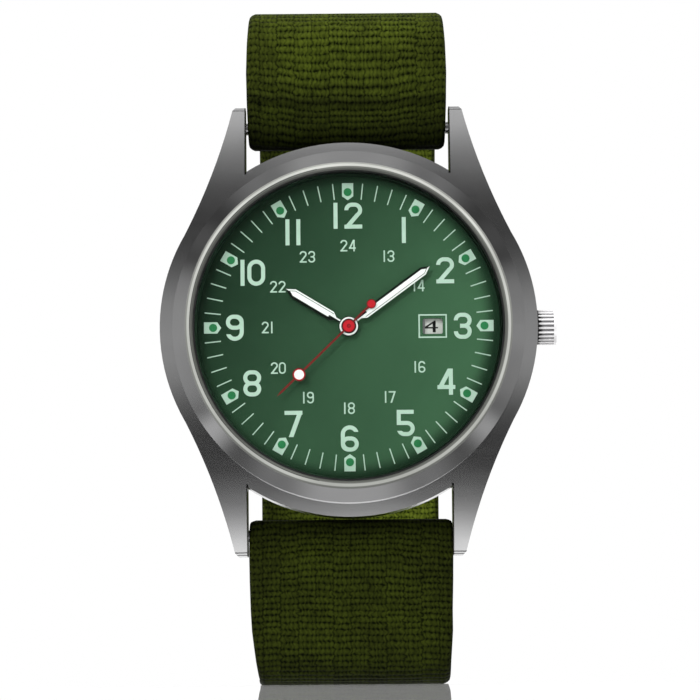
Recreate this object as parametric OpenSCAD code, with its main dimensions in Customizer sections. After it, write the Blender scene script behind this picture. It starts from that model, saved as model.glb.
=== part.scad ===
// Military wristwatch on a buckled nylon strap, standing on the lower bend of the strap.
// The dial faces -Y, twelve o'clock is +Z, the crown is +X.
// The origin is the centre of the case back's outer face. A level is a height over that face, towards the dial.

/* [Case] */
// Margin from the bezel to the edge of the case
case_margin = 1.27; // [1:0.01:1.5]
// Height of the case middle over the case back's outer face
case_top = 7.2; // [7.1:0.05:8]
// Radius of the domed upper side that runs down into the lugs
dome_r = 75; // [65:1:120]
// Gap between two lugs
lug_gap = 20.4; // [19:0.1:21]
// Distance from the centre to the tips of the lugs
lug_reach = 22.55; // [22:0.05:23.5]
// Bevel on the outer corner of each lug tip
tip_bevel = 0.25; // [0.1:0.05:0.6]
// Radius of the hollow flank between case and lug tip
flank_r = 60; // [50:5:90]
// Place on the case's edge where the flank begins, as an angle from three o'clock
flank_angle = 27.5; // [26.5:0.5:28]
// Width of the bezel's sloped ring
bezel_w = 1.27; // [1.1:0.01:1.5]
// Height of the bezel's sloped ring over the case middle
bezel_h = 1.6; // [1.4:0.1:2]
// Width of the polished rim
rim_w = 0.77; // [0.6:0.01:0.9]
// Width of the case back's flange round the bore
back_flange = 1.25; // [1.1:0.05:1.4]
// Thickness of the case back
back_t = 1.2; // [1:0.1:1.4]

/* [Dial and crystal] */
// Diameter of the dial
dial_d = 30.4; // [30:0.1:30.6]
// Thickness of the dial
dial_t = 0.4; // [0.3:0.05:0.45]
// Thickness of the crystal
crystal_t = 1.1; // [0.9:0.1:1.4]
// Margin from the dial's edge to the hour plots and the minute track
track_margin = 0.84; // [0.6:0.02:1]
// Length of an hour plot
plot_l = 1.71; // [1.4:0.05:1.9]
// Width of an hour plot
plot_w = 1.12; // [0.9:0.02:1.3]
// Radius of the dot on an hour plot
dot_r = 0.4; // [0.2:0.05:0.45]
// Length of a minute tick
tick_l = 1.6; // [1.2:0.1:1.8]
// Width of a minute tick
tick_w = 0.11; // [0.08:0.01:0.24]
// Height of the hour numerals
hour_h = 2.6; // [2.3:0.1:2.9]
// Stroke of the hour numerals
hour_stroke = 0.4; // [0.3:0.02:0.5]
// Distance of the hour numerals from the centre
hour_ring_r = 11.1; // [11:0.05:11.3]
// Height of the small inner numerals
inner_h = 1.15; // [0.9:0.05:1.3]
// Stroke of the small inner numerals
inner_stroke = 0.14; // [0.1:0.01:0.18]
// Distance of the small inner numerals from the centre
inner_ring_r = 8.1; // [7.9:0.05:8.3]
// Thickness of the printed figures
print_t = 0.05; // [0.03:0.01:0.08]
// Width of the date window
window_w = 2; // [1.6:0.1:2.2]
// Height of the date window
window_h = 1.54; // [1.4:0.02:1.7]
// Margin from the date window to its printed frame
window_margin = 0.41; // [0.3:0.01:0.5]

/* [Hands] */
// Length of the hour hand
hour_hand_l = 7.25; // [6.6:0.05:7.6]
// Width of the hour hand
hour_hand_w = 0.95; // [0.8:0.05:1.1]
// Length of the minute hand
minute_hand_l = 9.98; // [9:0.05:11]
// Width of the minute hand
minute_hand_w = 0.87; // [0.7:0.05:1]
// Thickness of the hour and minute hands
hand_t = 0.2; // [0.15:0.01:0.22]
// Length of the second hand
second_hand_l = 10; // [9.5:0.1:12]
// Distance of the second hand's dot from the centre
second_dot_r = 6.9; // [6.2:0.1:7.4]
// Hour hand as the watch shows it, clockwise from twelve
hour_angle = 301.3; // [0:0.1:360]
// Minute hand as the watch shows it, clockwise from twelve
minute_angle = 53.8; // [0:0.1:360]
// Second hand as the watch shows it, clockwise from twelve
second_angle = 225.9; // [0:0.1:360]

/* [Crown] */
// Diameter of the crown
crown_d = 3.46; // [3.1:0.02:3.6]
// Length of the crown
crown_l = 1.85; // [1.6:0.05:2.2]
// Number of grooves round the crown
crown_grooves = 24; // [18:1:30]
// Diameter of the stem
stem_d = 0.9; // [0.8:0.02:0.92]

/* [Movement] */
// Diameter of the movement
movement_d = 25.6; // [25.4:0.1:26]
// Thickness of the main plate
plate_t = 1.2; // [1.1:0.05:1.25]
// Diameter of the battery
battery_d = 6.8; // [6.4:0.1:6.8]
// Height of the battery
battery_h = 2.15; // [2.05:0.05:2.3]
// Distance from the centre to the third wheel
train_r = 3.6; // [3.55:0.01:3.7]
// Thickness of the wheels
wheel_t = 0.2; // [0.15:0.01:0.22]
// Diameter of the coil
coil_d = 2; // [1.6:0.1:2.1]
// Outer diameter of the date ring
date_ring_d = 19.6; // [19.4:0.1:20]

/* [Strap] */
// Play of the nylon strap between the lugs
strap_play = 0.5; // [0.1:0.05:1]
// Thickness of one layer of webbing
web_t = 1.3; // [1:0.05:1.35]
// Distance from the case centre to the spring bars
bar_reach = 20.5; // [20.4:0.05:20.8]
// Level of the spring bars
bar_level = 2.4; // [2.3:0.05:2.5]
// Diameter of the spring bars
bar_d = 1.5; // [1.3:0.05:1.5]
// Diameter of the spring bars' end pins
pin_d = 0.8; // [0.7:0.02:0.84]
// How far an end pin reaches into its lug
pin_grip = 0.8; // [0.6:0.05:1]
// Height of the upper bend over the case centre
top_reach = 32.7; // [31.5:0.1:34]
// Depth of the lower bend under the case centre
foot_reach = 35.3; // [34:0.1:37]
// Outer radius of the two front bends
front_bend_r = 5; // [4:0.1:6]
// Outer radius of the two rear bends
rear_bend_r = 15; // [13:0.5:15.5]
// Distance from the case back to the buckle bar
buckle_reach = 47.4; // [44:0.2:52]
// Length of the sewn flap at the case and at the buckle
flap_l = 12; // [10:0.5:13]
// Pitch of the strap's holes
hole_pitch = 6.5; // [6:0.1:8]
// Diameter of the strap's holes
hole_d = 2.2; // [2.1:0.05:2.4]
// Sweep of the tail's free end round the upper rear bend, in degrees
tail_sweep = 40; // [20:1:60]

/* [Buckle and keepers] */
// Distance from the buckle bar to the frame's far bar
buckle_l = 9; // [8.9:0.05:9.6]
// Width of each side rail of the frame
rail_w = 1.6; // [1.3:0.1:2]
// Depth of each side rail of the frame
rail_t = 1.9; // [1.6:0.1:2.2]
// Diameter of the frame's far bar
far_bar_d = 1.6; // [1.4:0.05:1.65]
// Diameter of the tongue
tongue_d = 0.8; // [0.7:0.02:0.86]
// Width of the fixed keeper along the strap
fixed_keeper_w = 4; // [3:0.1:4.5]
// Width of the free keeper along the strap
free_keeper_w = 4; // [3:0.1:4.4]
// Thickness of the keepers
keeper_t = 0.9; // [0.7:0.05:1.1]

/* [Hidden] */
$fn = 96;

// Clearances
slip = 0.05;
run = 0.03;
soft_gap = 0.15;
weld = 0.001;

// Levels of the stack, from the case back to the crystal
back_gap = 0.15;
clamp_t = 0.25;
clamp_level = back_t + back_gap;
battery_level = clamp_level + clamp_t + slip;
plate_level = battery_level + battery_h;
plate_top = plate_level + plate_t;
calendar_room = 1.4;
dial_level = plate_top + calendar_room;
dial_top = dial_level + dial_t;
track_r = dial_d / 2 - track_margin;
glass_room = 1.2;
crystal_level = dial_top + glass_room;
stem_level = plate_level + plate_t / 2;
stem_r = stem_d / 2;

// Radii of the case
bore_r = dial_d / 2 + 0.1;
rim_lip = 0.23;
rim_in = dial_d / 2 + rim_lip;
rim_out = rim_in + rim_w;
bezel_r = rim_out + bezel_w;
case_r = bezel_r + case_margin;
foot_chamfer = 0.4;
flank_bite = 0.02;
dome_top = case_top - 0.1;
foot_level = 0.4;
bezel_top = case_top + bezel_h;
back_r = bore_r + back_flange;
back_seat = 0.05;
back_chamfer = 0.4;
notch_r = 0.8;
groove_in = bore_r + 0.16 * back_flange;
groove_out = bore_r + 0.64 * back_flange;
groove_t = 0.3;
lug_round = 0.4;

// Train layers between bridge and plate
bridge_t = 0.3;
bridge_r = 6.3;
bridge_drop = 1.9;
layer_drop = 0.45;
layer_pitch = 0.35;
bridge_level = plate_level - bridge_drop;
layer_d = plate_level - layer_drop;
layer_c = layer_d - layer_pitch;
layer_b = layer_c - layer_pitch;
layer_a = layer_b - layer_pitch;
arbor_r = 0.12;
arbor_end = 0.3;
screw_ring_r = 5.6;
screw_post_r = 0.55;
screw_r = 0.19;
screw_head_r = 0.5;
screw_head_t = 0.25;
battery_room = 0.2;
pillar_ring_r = 5.9;
pillar_r = 0.4;
past = 1;

// Tooth counts and modules; a pair shares one module
rotor_teeth = 6;
intermediate_teeth = 60;
intermediate_pinion_teeth = 10;
second_teeth = 30;
second_pinion_teeth = 8;
third_teeth = 60;
third_pinion_teeth = 8;
centre_teeth = 64;
cannon_teeth = 12;
minute_teeth = 36;
minute_pinion_teeth = 10;
hour_teeth = 40;
hour_pinion_teeth = 20;
date_teeth = 40;
motion_r = train_r * 5 / 6;
rotor_module = 0.07;
fast_module = 2 * train_r / (intermediate_pinion_teeth + second_teeth);
third_module = 2 * train_r / (second_pinion_teeth + third_teeth);
centre_module = 2 * train_r / (third_pinion_teeth + centre_teeth);
cannon_module = 2 * motion_r / (cannon_teeth + minute_teeth);
hour_module = 2 * motion_r / (minute_pinion_teeth + hour_teeth);
date_module = 2 * train_r / (hour_pinion_teeth + date_teeth);
rotor_spacing = rotor_module * (rotor_teeth + intermediate_teeth) / 2;

// Places of the arbors on the plate, as seen from the dial side
third_place = [train_r * cos(120), train_r * sin(120)];
intermediate_place = [train_r * cos(300), train_r * sin(300)];
rotor_place = intermediate_place + [rotor_spacing * cos(240), rotor_spacing * sin(240)];
minute_place = [-motion_r, 0];
date_place = [train_r * cos(50), train_r * sin(50)];
battery_place = [-8.6, 2];

// Calendar levels on the dial side of the plate
motion_level = plate_top + 0.12;
hour_wheel_level = plate_top + 0.55;
date_drive_level = plate_top + 0.8;
finger_level = date_drive_level + 0.13;
finger_t = 0.22;
finger_w = 0.4;
date_ring_level = plate_top + 0.75;
date_ring_t = 0.4;
calendar_plate_t = 0.12;
calendar_plate_level = date_ring_level + date_ring_t + slip;
date_ring_r = date_ring_d / 2;
date_bore_r = date_ring_r - 2.6;
date_tooth = 0.75;
days = 31;
window_r = date_ring_r - 1.48;

// Hands: levels and hubs
hour_hand_level = dial_top + 0.3;
minute_hand_level = hour_hand_level + hand_t + 0.1;
second_hand_level = minute_hand_level + hand_t + 0.08;
second_hand_t = 0.1;
second_arbor_r = 0.12;
cannon_bore_r = second_arbor_r + run;
cannon_r = 0.42;
hour_bore_r = cannon_r + run;
hour_pipe_r = 0.7;
frame_edge = 0.16;
neck_w = 0.25;
hub_r = 0.9;

// Crown
crown_r = crown_d / 2;
crown_start = case_r + 0.06;
crown_pull = 1.5;
tube_r = 0.95;
tube_end = case_r + 0.9;
crown_bore_r = 1.2;
crown_cap = 0.75;
pinion_start = 7;
pinion_l = 1.6;
pinion_r = 1;
stem_square = 0.56;
stem_inner = 5;
stem_square_end = 9;
groove_start = 10.6;
groove_w = 0.6;
lever_arm = 3.2;

// Strap route; Y grows to the rear, Z grows upwards
strap_w = lug_gap - strap_play;
bar_y = -bar_level;
bar_r = bar_d / 2;
fold_in = bar_r + soft_gap;
fold_out = fold_in + web_t;
front_y = bar_y - fold_out;
front_bend_y = front_y + front_bend_r;
taper_l = 4;
layer_gap = 0.05;
fold_mid = fold_in + web_t / 2;
main_y = buckle_reach + fold_in - layer_gap;
rear_bend_y = main_y - rear_bend_r;
rear_bend_z = top_reach - rear_bend_r;
tail_y = buckle_reach + fold_out + soft_gap;
swing_angle = 55;
far_bar_y = buckle_reach + 0.1;
far_bar_r = far_bar_d / 2;
under_y = far_bar_y - far_bar_r - 0.35;
swing_shift = tail_y + web_t - under_y;
swing_r = swing_shift / 2 / (1 - cos(swing_angle));
swing_half = swing_r * sin(swing_angle);
swing_path = swing_r * swing_angle * PI / 180;
swing_start = -2 * swing_half;
under_bend_y = under_y - rear_bend_r;
under_bend_z = foot_reach - rear_bend_r;

// Buckle
rail_gap = strap_w / 2 + 0.5;
pin_r = pin_d / 2;
tongue_r = tongue_d / 2;
tongue_wall = 0.55;
tongue_ring_r = bar_r + tongue_wall;
tongue_tip = 1.1;
tongue_rise = asin((far_bar_r + tongue_r + 0.02) / buckle_l) + 0.64;
tongue_slot = 1;
keeper_gap = 0.1;
keeper_half = strap_w / 2 + 0.2;
fixed_keeper_z = taper_l + 1;
free_keeper_z = fixed_keeper_z + fixed_keeper_w + 1.5;

// Helpers: drawings that face the viewer, turned rings, and drawings that run across the strap
module facing(level, thick) {
    translate([0, -level, 0]) rotate([90, 0, 0]) linear_extrude(thick) children();
}

module turned() {
    rotate([90, 0, 0]) rotate_extrude() children();
}

module post(place, r, level, thick) {
    translate([place[0], -level, place[1]]) rotate([90, 0, 0]) cylinder(h = thick, r = r);
}

module across(width) {
    rotate([90, 0, 90]) linear_extrude(width, center = true) children();
}

module along_x(start, length, r) {
    translate([start, -stem_level, 0]) rotate([0, 90, 0]) cylinder(h = length, r = r);
}

module bar_x(y, z, length, r) {
    translate([-length / 2, y, z]) rotate([0, 90, 0]) cylinder(h = length, r = r);
}

module annulus(outer, inner) {
    difference() {
        circle(outer);
        circle(inner);
    }
}

// Outline of a wheel or pinion, thinned for free running; the fine teeth of a wheel come to a plain point
module gear_outline(teeth, pitch_module) {
    pitch_r = teeth * pitch_module / 2;
    tip_r = pitch_r + pitch_module * 0.7;
    root_r = pitch_r - pitch_module * 0.95;
    step = 360 / teeth;
    fine_tooth = [[0, tip_r], [0.5, root_r]];
    broad_tooth = [[-0.27, root_r], [-0.1, tip_r], [0.1, tip_r], [0.27, root_r]];
    polygon([
        for (tooth = [0 : teeth - 1], corner = teeth > 20 ? fine_tooth : broad_tooth)
            corner[1] * [cos((tooth + corner[0]) * step), sin((tooth + corner[0]) * step)]
    ]);
}

module wheel(place, teeth, pitch_module, level, thick) {
    translate([place[0], 0, place[1]]) facing(level, thick) gear_outline(teeth, pitch_module);
}

// Figures
module pill(width, height) {
    r = min(width, height) / 2;
    square([width - 2 * r + weld, height], center = true);
    square([width, height - 2 * r + weld], center = true);
    for (sx = [-1, 1], sy = [-1, 1])
        translate([sx * (width / 2 - r), sy * (height / 2 - r)]) circle(r);
}

module loop(width, height, stroke) {
    difference() {
        pill(width, height);
        pill(width - 2 * stroke, height - 2 * stroke);
    }
}

module slant(from, to, stroke) {
    polygon([
        from + [-stroke / 2, 0], from + [stroke / 2, 0], to + [stroke / 2, 0], to + [-stroke / 2, 0]
    ]);
}

module digit_six(width, height, stroke, loop_h) {
    translate([0, (loop_h - height) / 2]) loop(width, loop_h, stroke);
    difference() {
        loop(width, height, stroke);
        translate([0, -height / 2]) square([width, height * 0.75]);
    }
}

// One digit in a cell centred on the drawing's origin
module digit(figure, width, height, stroke) {
    loop_h = (height + stroke) / 2;
    loop_y = (height - loop_h) / 2;
    if (figure == 0) loop(width, height, stroke);
    if (figure == 1) square([stroke, height], center = true);
    if (figure == 2) {
        difference() {
            translate([0, loop_y]) loop(width, loop_h, stroke);
            translate([-width, loop_y - loop_h]) square([width * 1.2, loop_h]);
            translate([-width, loop_y - loop_h]) square([width * 2, loop_h * 0.75]);
        }
        slant([-width / 2 + stroke * 0.7, stroke / 2 - height / 2],
              [width / 2 - stroke * 0.8, loop_y - loop_h * 0.2], stroke * 1.35);
        translate([-width / 2, -height / 2]) square([width, stroke]);
    }
    if (figure == 3) difference() {
        digit(8, width, height, stroke);
        translate([-width, -loop_y]) square([width * 0.85, loop_y * 2]);
    }
    if (figure == 4) {
        translate([width * 0.14, -height / 2]) square([stroke, height]);
        translate([-width / 2, -height * 0.28]) square([width, stroke]);
        slant([stroke * 0.65 - width / 2, -height * 0.22], [width * 0.14 + stroke * 0.35, height / 2], stroke * 1.2);
    }
    if (figure == 5) {
        difference() {
            translate([0, -loop_y]) loop(width, loop_h, stroke);
            translate([-width, -height * 0.3]) square([width * 0.9, height * 0.3 - stroke / 2]);
        }
        translate([-width / 2, -stroke / 2]) square([width / 2, stroke]);
        translate([-width / 2, -stroke / 2]) square([stroke, (height + stroke) / 2]);
        translate([-width / 2, height / 2 - stroke]) square([width * 0.95, stroke]);
    }
    if (figure == 6) digit_six(width, height, stroke, loop_h);
    if (figure == 7) {
        translate([-width / 2, height / 2 - stroke]) square([width, stroke]);
        slant([-width * 0.14, -height / 2], [width / 2 - stroke * 0.6, height / 2 - stroke / 2], stroke * 1.15);
    }
    if (figure == 8) for (side = [-1, 1])
        translate([0, side * loop_y]) loop(width, loop_h, stroke);
    if (figure == 9) rotate(180) digit_six(width, height, stroke, loop_h);
}

function figure_width(figure, width, stroke) = figure == 1 ? stroke : width;

module number(value, width, height, stroke) {
    tens = floor(value / 10);
    ones = value % 10;
    gap = stroke * (ones == 0 ? 0.7 : tens == 1 || ones == 1 ? 1.7 : 1.1);
    ones_w = figure_width(ones, width, stroke);
    tens_w = tens > 0 ? figure_width(tens, width, stroke) + gap : 0;
    whole_w = tens_w + ones_w;
    if (tens > 0) translate([(tens_w - gap - whole_w) / 2, 0]) digit(tens, width, height, stroke);
    translate([(whole_w - ones_w) / 2, 0]) digit(ones, width, height, stroke);
}

// Case
module lug_outline() {
    flank_centre = (case_r + flank_r - flank_bite) * [cos(flank_angle), sin(flank_angle)];
    lug_root = case_r * sin(flank_angle);
    tip_x = flank_centre[0] - sqrt(pow(flank_r, 2) - pow(flank_centre[1] - lug_reach, 2));
    difference() {
        translate([lug_gap / 2, lug_root]) square([case_r - lug_gap / 2, lug_reach - lug_root]);
        translate(flank_centre) circle(flank_r, $fn = 360);
        translate([tip_x, lug_reach]) polygon([
            [-tip_bevel, 0], [-tip_bevel, past], [past, past], [past, -tip_bevel - past]
        ]);
    }
}

module four_lugs() {
    for (side = [0, 1], end = [0, 1]) mirror([side, 0]) mirror([0, end]) lug_outline();
}

// Side view of the case with its domed upper side and rounded lug tips, drawn over Y and Z
module case_side() {
    tip_top = dome_top - dome_r + sqrt(pow(dome_r, 2) - pow(lug_reach, 2));
    intersection() {
        translate([dome_r - dome_top, 0]) circle(dome_r, $fn = 360);
        union() {
            translate([-case_top, -(lug_reach - lug_round)])
                square([case_top - foot_level, 2 * (lug_reach - lug_round)]);
            translate([lug_round - tip_top, -lug_reach])
                square([tip_top - foot_level - 2 * lug_round, 2 * lug_reach]);
            for (end = [-1, 1], tip_y = [lug_round - tip_top, -foot_level - lug_round])
                translate([tip_y, end * (lug_reach - lug_round)]) circle(lug_round);
        }
    }
}

module case_middle() {
    color("dimgray") difference() {
        union() {
            intersection() {
                union() {
                    facing(foot_level, case_top) four_lugs();
                    turned() polygon([
                        [0, foot_level], [case_r - foot_chamfer, foot_level], [case_r, foot_level + foot_chamfer],
                        [case_r, case_top], [0, case_top]
                    ]);
                }
                across(4 * case_r) case_side();
            }
            post([0, 0], bezel_r, back_t, case_top - back_t);
        }
        post([0, 0], bore_r, 0, case_top + 1);
        post([0, 0], back_r + slip, 0, back_t + back_seat);
        along_x(0, case_r + 1, tube_r);
        for (end = [-1, 1]) {
            bar_x(bar_y, end * bar_reach, lug_gap + 2 * (pin_grip + slip), pin_r + slip);
            bar_x(bar_y, end * bar_reach, lug_gap, fold_out + soft_gap);
        }
    }
}

module bezel() {
    color("gray") turned() polygon([
        [bore_r, case_top], [bezel_r, case_top], [bezel_r, case_top + 0.5], [rim_out, bezel_top - slip],
        [rim_out, crystal_level], [bore_r, crystal_level]
    ]);
}

module rim() {
    rim_top = bezel_top + 0.3;
    bevel = 0.2;
    color("silver") turned() polygon([
        [rim_in, crystal_level], [rim_out, crystal_level], [rim_out, rim_top - bevel],
        [rim_out - bevel, rim_top], [rim_in + bevel, rim_top], [rim_in, rim_top - bevel]
    ]);
}

module crystal() {
    color("lightcyan") post([0, 0], bore_r - slip, crystal_level, crystal_t);
}

module crystal_gasket() {
    color("black") facing(crystal_level, crystal_t - 0.2) annulus(rim_in, bore_r - slip);
}

module rehaut_ring() {
    ring_foot = bore_r - 0.3;
    ring_head = bore_r - 0.18;
    color("black") turned() polygon([
        [ring_foot, dial_top], [bore_r - slip / 2, dial_top], [bore_r - slip / 2, crystal_level],
        [ring_head, crystal_level]
    ]);
}

module case_back() {
    color("lightgray") difference() {
        turned() polygon([
            [0, 0], [back_r - back_chamfer, 0], [back_r, back_chamfer], [back_r, back_t + back_seat], [groove_out, back_t + back_seat],
            [groove_out, back_t - groove_t], [groove_in, back_t - groove_t], [groove_in, back_t], [0, back_t]
        ]);
        post([back_r * cos(45), back_r * sin(45)], notch_r, -back_t, back_t + back_chamfer);
    }
}

module back_gasket() {
    color("black") facing(back_t - groove_t, groove_t + back_seat) annulus(groove_out - slip / 2, groove_in + slip / 2);
}

module crown_tube() {
    color("silver") difference() {
        along_x(bore_r, tube_end - bore_r, tube_r);
        along_x(bore_r - 1, case_r, stem_r + slip);
    }
}

// Dial and its printing
module dial() {
    window_corner = 0.2;
    color("darkgreen") {
        facing(dial_level, dial_t) difference() {
            circle(dial_d / 2);
            circle(hub_r);
            translate([window_r, 0]) square([window_w - 2 * window_corner, window_h], center = true);
            translate([window_r, 0]) square([window_w, window_h - 2 * window_corner], center = true);
            for (sx = [-1, 1], sy = [-1, 1])
                translate([window_r + sx * (window_w / 2 - window_corner), sy * (window_h / 2 - window_corner)])
                    circle(window_corner);
        }
        for (side = [-1, 1]) post(side * foot_place(), foot_r(), plate_top - 0.8, dial_level - plate_top + 0.8);
    }
}

function foot_place() = (movement_d / 2 - 1) * [cos(70), sin(70)];
function foot_r() = 0.35;

module on_hour(hour, r) {
    rotate(-30 * hour) translate([0, r]) children();
}

module hour_plots() {
    shoulder = plot_w / 2;
    color("honeydew") facing(dial_top, print_t) for (hour = [1 : 12]) on_hour(hour, track_r)
        polygon([
            [-plot_w / 2, 0], [plot_w / 2, 0], [plot_w / 2, shoulder * 0.7 - plot_l], [0, -plot_l],
            [-plot_w / 2, shoulder * 0.7 - plot_l]
        ]);
}

module plot_dots() {
    color("mediumseagreen") facing(dial_top + print_t, print_t)
        for (hour = [1 : 12]) on_hour(hour, track_r - plot_l * 0.53) circle(dot_r);
}

// The figures at three and nine stand a little further out, the pairs at ten and eleven a little further in
module hour_numerals() {
    side_out = 0.2;
    pair_in = 0.15;
    color("honeydew") facing(dial_top, print_t) for (hour = [1 : 12]) {
        shift = hour % 6 == 3 ? side_out : hour == 10 || hour == 11 ? -pair_in : 0;
        translate((hour_ring_r + shift) * [sin(30 * hour), cos(30 * hour)])
            number(hour, hour_h * 0.68, hour_h, hour_stroke);
    }
}

module inner_numerals() {
    color("honeydew") facing(dial_top, print_t) for (hour = [13 : 24]) if (hour != 15)
        translate(inner_ring_r * [sin(30 * hour), cos(30 * hour)]) number(hour, inner_h * 0.6, inner_h, inner_stroke);
}

module fine_print() {
    frame_w = window_w + 2 * window_margin;
    frame_h = window_h + 2 * window_margin;
    line = inner_stroke;
    color("honeydew") facing(dial_top, print_t) {
        for (minute = [1 : 59]) if (minute % 5 != 0)
            rotate(-6 * minute) translate([-tick_w / 2, track_r - tick_l]) square([tick_w, tick_l]);
        translate([window_r, 0]) difference() {
            square([frame_w, frame_h], center = true);
            square([frame_w - 2 * line, frame_h - 2 * line], center = true);
        }
    }
}

// Movement, fixed pieces
module stem_channel() {
    along_x(0, case_r, tube_r + slip);
}

module movement_ring() {
    color("white") difference() {
        facing(clamp_level, dial_level - clamp_level) annulus(bore_r - slip, movement_d / 2 + slip);
        stem_channel();
    }
}

module pinion_window() {
    translate([pinion_start - 1.3, -plate_top - 1, -pinion_r - 0.3])
        cube([pinion_l + 2.2, plate_t + 2, 2 * pinion_r + 0.6]);
}

function pillar_places() = [for (angle = [110, 175, 330]) pillar_ring_r * [cos(angle), sin(angle)]];
function lever_place() = [groove_start + groove_w / 2 + crown_pull / 2, lever_arm];

module main_plate() {
    lever_post_r = 0.3;
    color("gold") difference() {
        union() {
            post([0, 0], movement_d / 2, plate_level, plate_t);
            for (place = pillar_places()) post(place, pillar_r, plate_top, calendar_plate_level - plate_top);
            post(lever_place(), lever_post_r, plate_top, 0.3);
            post(minute_place, arbor_r, plate_top, 0.35);
            post(date_place, arbor_r, plate_top, calendar_plate_level - plate_top);
            facing(plate_top, date_ring_level - plate_top - slip)
                annulus(date_ring_r - 0.2, date_ring_r - 0.9);
        }
        pinion_window();
        along_x(stem_inner - slip, movement_d / 2, stem_r + run);
        translate([groove_start - 0.1, -plate_top - 1, -0.45])
            cube([crown_pull + groove_w + 0.3, 1 + plate_t / 2, 0.9]);
        post([0, 0], cannon_r + run, plate_level - 1, plate_t + 2);
        for (place = [third_place, intermediate_place, rotor_place])
            post(place, arbor_r + run, plate_level - 1, 1.4);
        for (side = [-1, 1]) post(side * foot_place(), foot_r() + slip, plate_level - 1, plate_t + 2);
    }
}

function screw_places() = [for (angle = [75, 215, 340]) screw_ring_r * [cos(angle), sin(angle)]];

module train_bridge() {
    color("goldenrod") difference() {
        union() {
            facing(bridge_level, bridge_t) difference() {
                circle(bridge_r);
                translate(battery_place) circle(battery_d / 2 + battery_room);
            }
            for (place = screw_places()) post(place, screw_post_r, bridge_level, bridge_drop);
        }
        for (place = [[0, 0], third_place, intermediate_place, rotor_place])
            post(place, arbor_r + run, bridge_level - past, bridge_t + 2 * past);
        for (place = screw_places())
            post(place, screw_r + slip / 5, bridge_level - past, bridge_drop + 2 * past);
    }
}

module movement_screws() {
    slot_w = 0.12;
    slot_t = 0.1;
    color("steelblue") for (place = screw_places()) difference() {
        union() {
            post(place, screw_head_r, bridge_level - screw_head_t, screw_head_t);
            post(place, screw_r, bridge_level, bridge_drop);
        }
        translate([place[0], screw_head_t - bridge_level, place[1]])
            cube([3 * screw_head_r, 2 * slot_t, slot_w], center = true);
    }
}

board_t = 0.3;
board_level = plate_level - board_t;
board_edge = [2, 2.4];
board_bore_r = 7;
chip_place = [8.8, 3.2];
can_place = [6.3, 7.4];

module circuit_board() {
    chip = 2.2;
    chip_t = 0.8;
    color("green") {
        facing(board_level, board_t) intersection() {
            annulus(movement_d / 2 - 0.4, board_bore_r);
            translate(board_edge) square(movement_d);
        }
        translate([chip_place[0], -board_level, chip_place[1]]) cube([chip, chip_t, chip]);
    }
}

module quartz_can() {
    can_r = 0.7;
    can_l = 4.4;
    color("silver") translate([can_place[0], can_r - board_level, can_place[1]]) rotate([0, 65, 0])
        cylinder(h = can_l, r = can_r, center = true);
}

coil_z = -8.6;
coil_core = 0.7;
coil_half = 4.6;
coil_level = plate_level - coil_d / 2 - slip;

module coil() {
    color("chocolate") difference() {
        translate([-coil_half, -coil_level, coil_z]) rotate([0, 90, 0]) cylinder(h = 2 * coil_half, r = coil_d / 2);
        translate([0, -coil_level, coil_z]) cube([4 * coil_half, coil_core, coil_core], center = true);
    }
}

module stator() {
    stator_t = 0.3;
    arm = 0.9;
    inner = 2 * coil_half + 0.2;
    color("darkgray") {
        facing(coil_level - coil_core / 2 + slip / 2, coil_core - slip)
            translate([0, coil_z]) square([inner + 2 * arm, coil_core - slip], center = true);
        facing(coil_level - stator_t / 2, stator_t) difference() {
            union() {
                translate([-inner / 2 - arm, rotor_place[1] - 1.6]) square([inner + 2 * arm, 3]);
                for (side = [-1, 1]) translate([side * (inner + arm) / 2 - arm / 2, coil_z - 0.3])
                    square([arm, rotor_place[1] - coil_z]);
            }
            translate(rotor_place) circle(1.05);
            translate(intermediate_place) circle(1.3);
            circle(train_r + 0.1);
            for (place = screw_places()) translate(place) circle(0.7);
        }
    }
}

module battery() {
    color("silver") post(battery_place, battery_d / 2, battery_level, battery_h);
}

module battery_clamp() {
    clamp_w = 1.6;
    color("gold") facing(clamp_level, clamp_t) translate(battery_place) rotate(75)
        square([battery_d + 1.6, clamp_w], center = true);
    color("gold") for (side = [-1, 1])
        post(battery_place + side * (battery_d / 2 + 0.42) * [cos(75), sin(75)], 0.35, clamp_level,
             plate_level - clamp_level);
}

module calendar_plate() {
    color("silver") facing(calendar_plate_level, calendar_plate_t) difference() {
        circle(date_bore_r + 0.35);
        circle(hour_teeth * hour_module / 4 + 0.2);
    }
}

module date_jumper() {
    reach = date_bore_r - date_tooth - slip;
    color("gray") {
        facing(date_ring_level, date_ring_t / 2) rotate(205) {
            polygon([[reach - 0.7, -0.25], [reach, 0], [reach - 0.7, 0.25]]);
            translate([reach - 0.9, -2.2]) square([0.3, 2.5]);
        }
        rotate([0, -205, 0]) post([reach - 0.75, -2], 0.3, plate_top, calendar_plate_level - plate_top);
    }
}

// Setting works and crown
module setting_pinion() {
    color("silver") difference() {
        along_x(pinion_start, pinion_l, pinion_r);
        translate([pinion_start - 1, -stem_level, 0])
            translate([0, -stem_square / 2 - run, -stem_square / 2 - run])
                cube([pinion_l + 2, stem_square + 2 * run, stem_square + 2 * run]);
        for (tooth = [0 : 11]) translate([0, -stem_level, 0]) rotate([30 * tooth, 0, 0])
            translate([pinion_start + 0.5, pinion_r, 0]) rotate([0, 90, 0]) cylinder(h = pinion_l, r = 0.14);
    }
}

module stem() {
    color("silver") difference() {
        union() {
            along_x(stem_square_end, crown_start + crown_l - crown_cap - stem_square_end, stem_r);
            translate([stem_inner, -stem_level - stem_square / 2, -stem_square / 2])
                cube([stem_square_end - stem_inner, stem_square, stem_square]);
        }
        difference() {
            along_x(groove_start, groove_w, 2 * stem_r);
            along_x(groove_start, groove_w, stem_r * 0.45);
        }
    }
}

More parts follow.
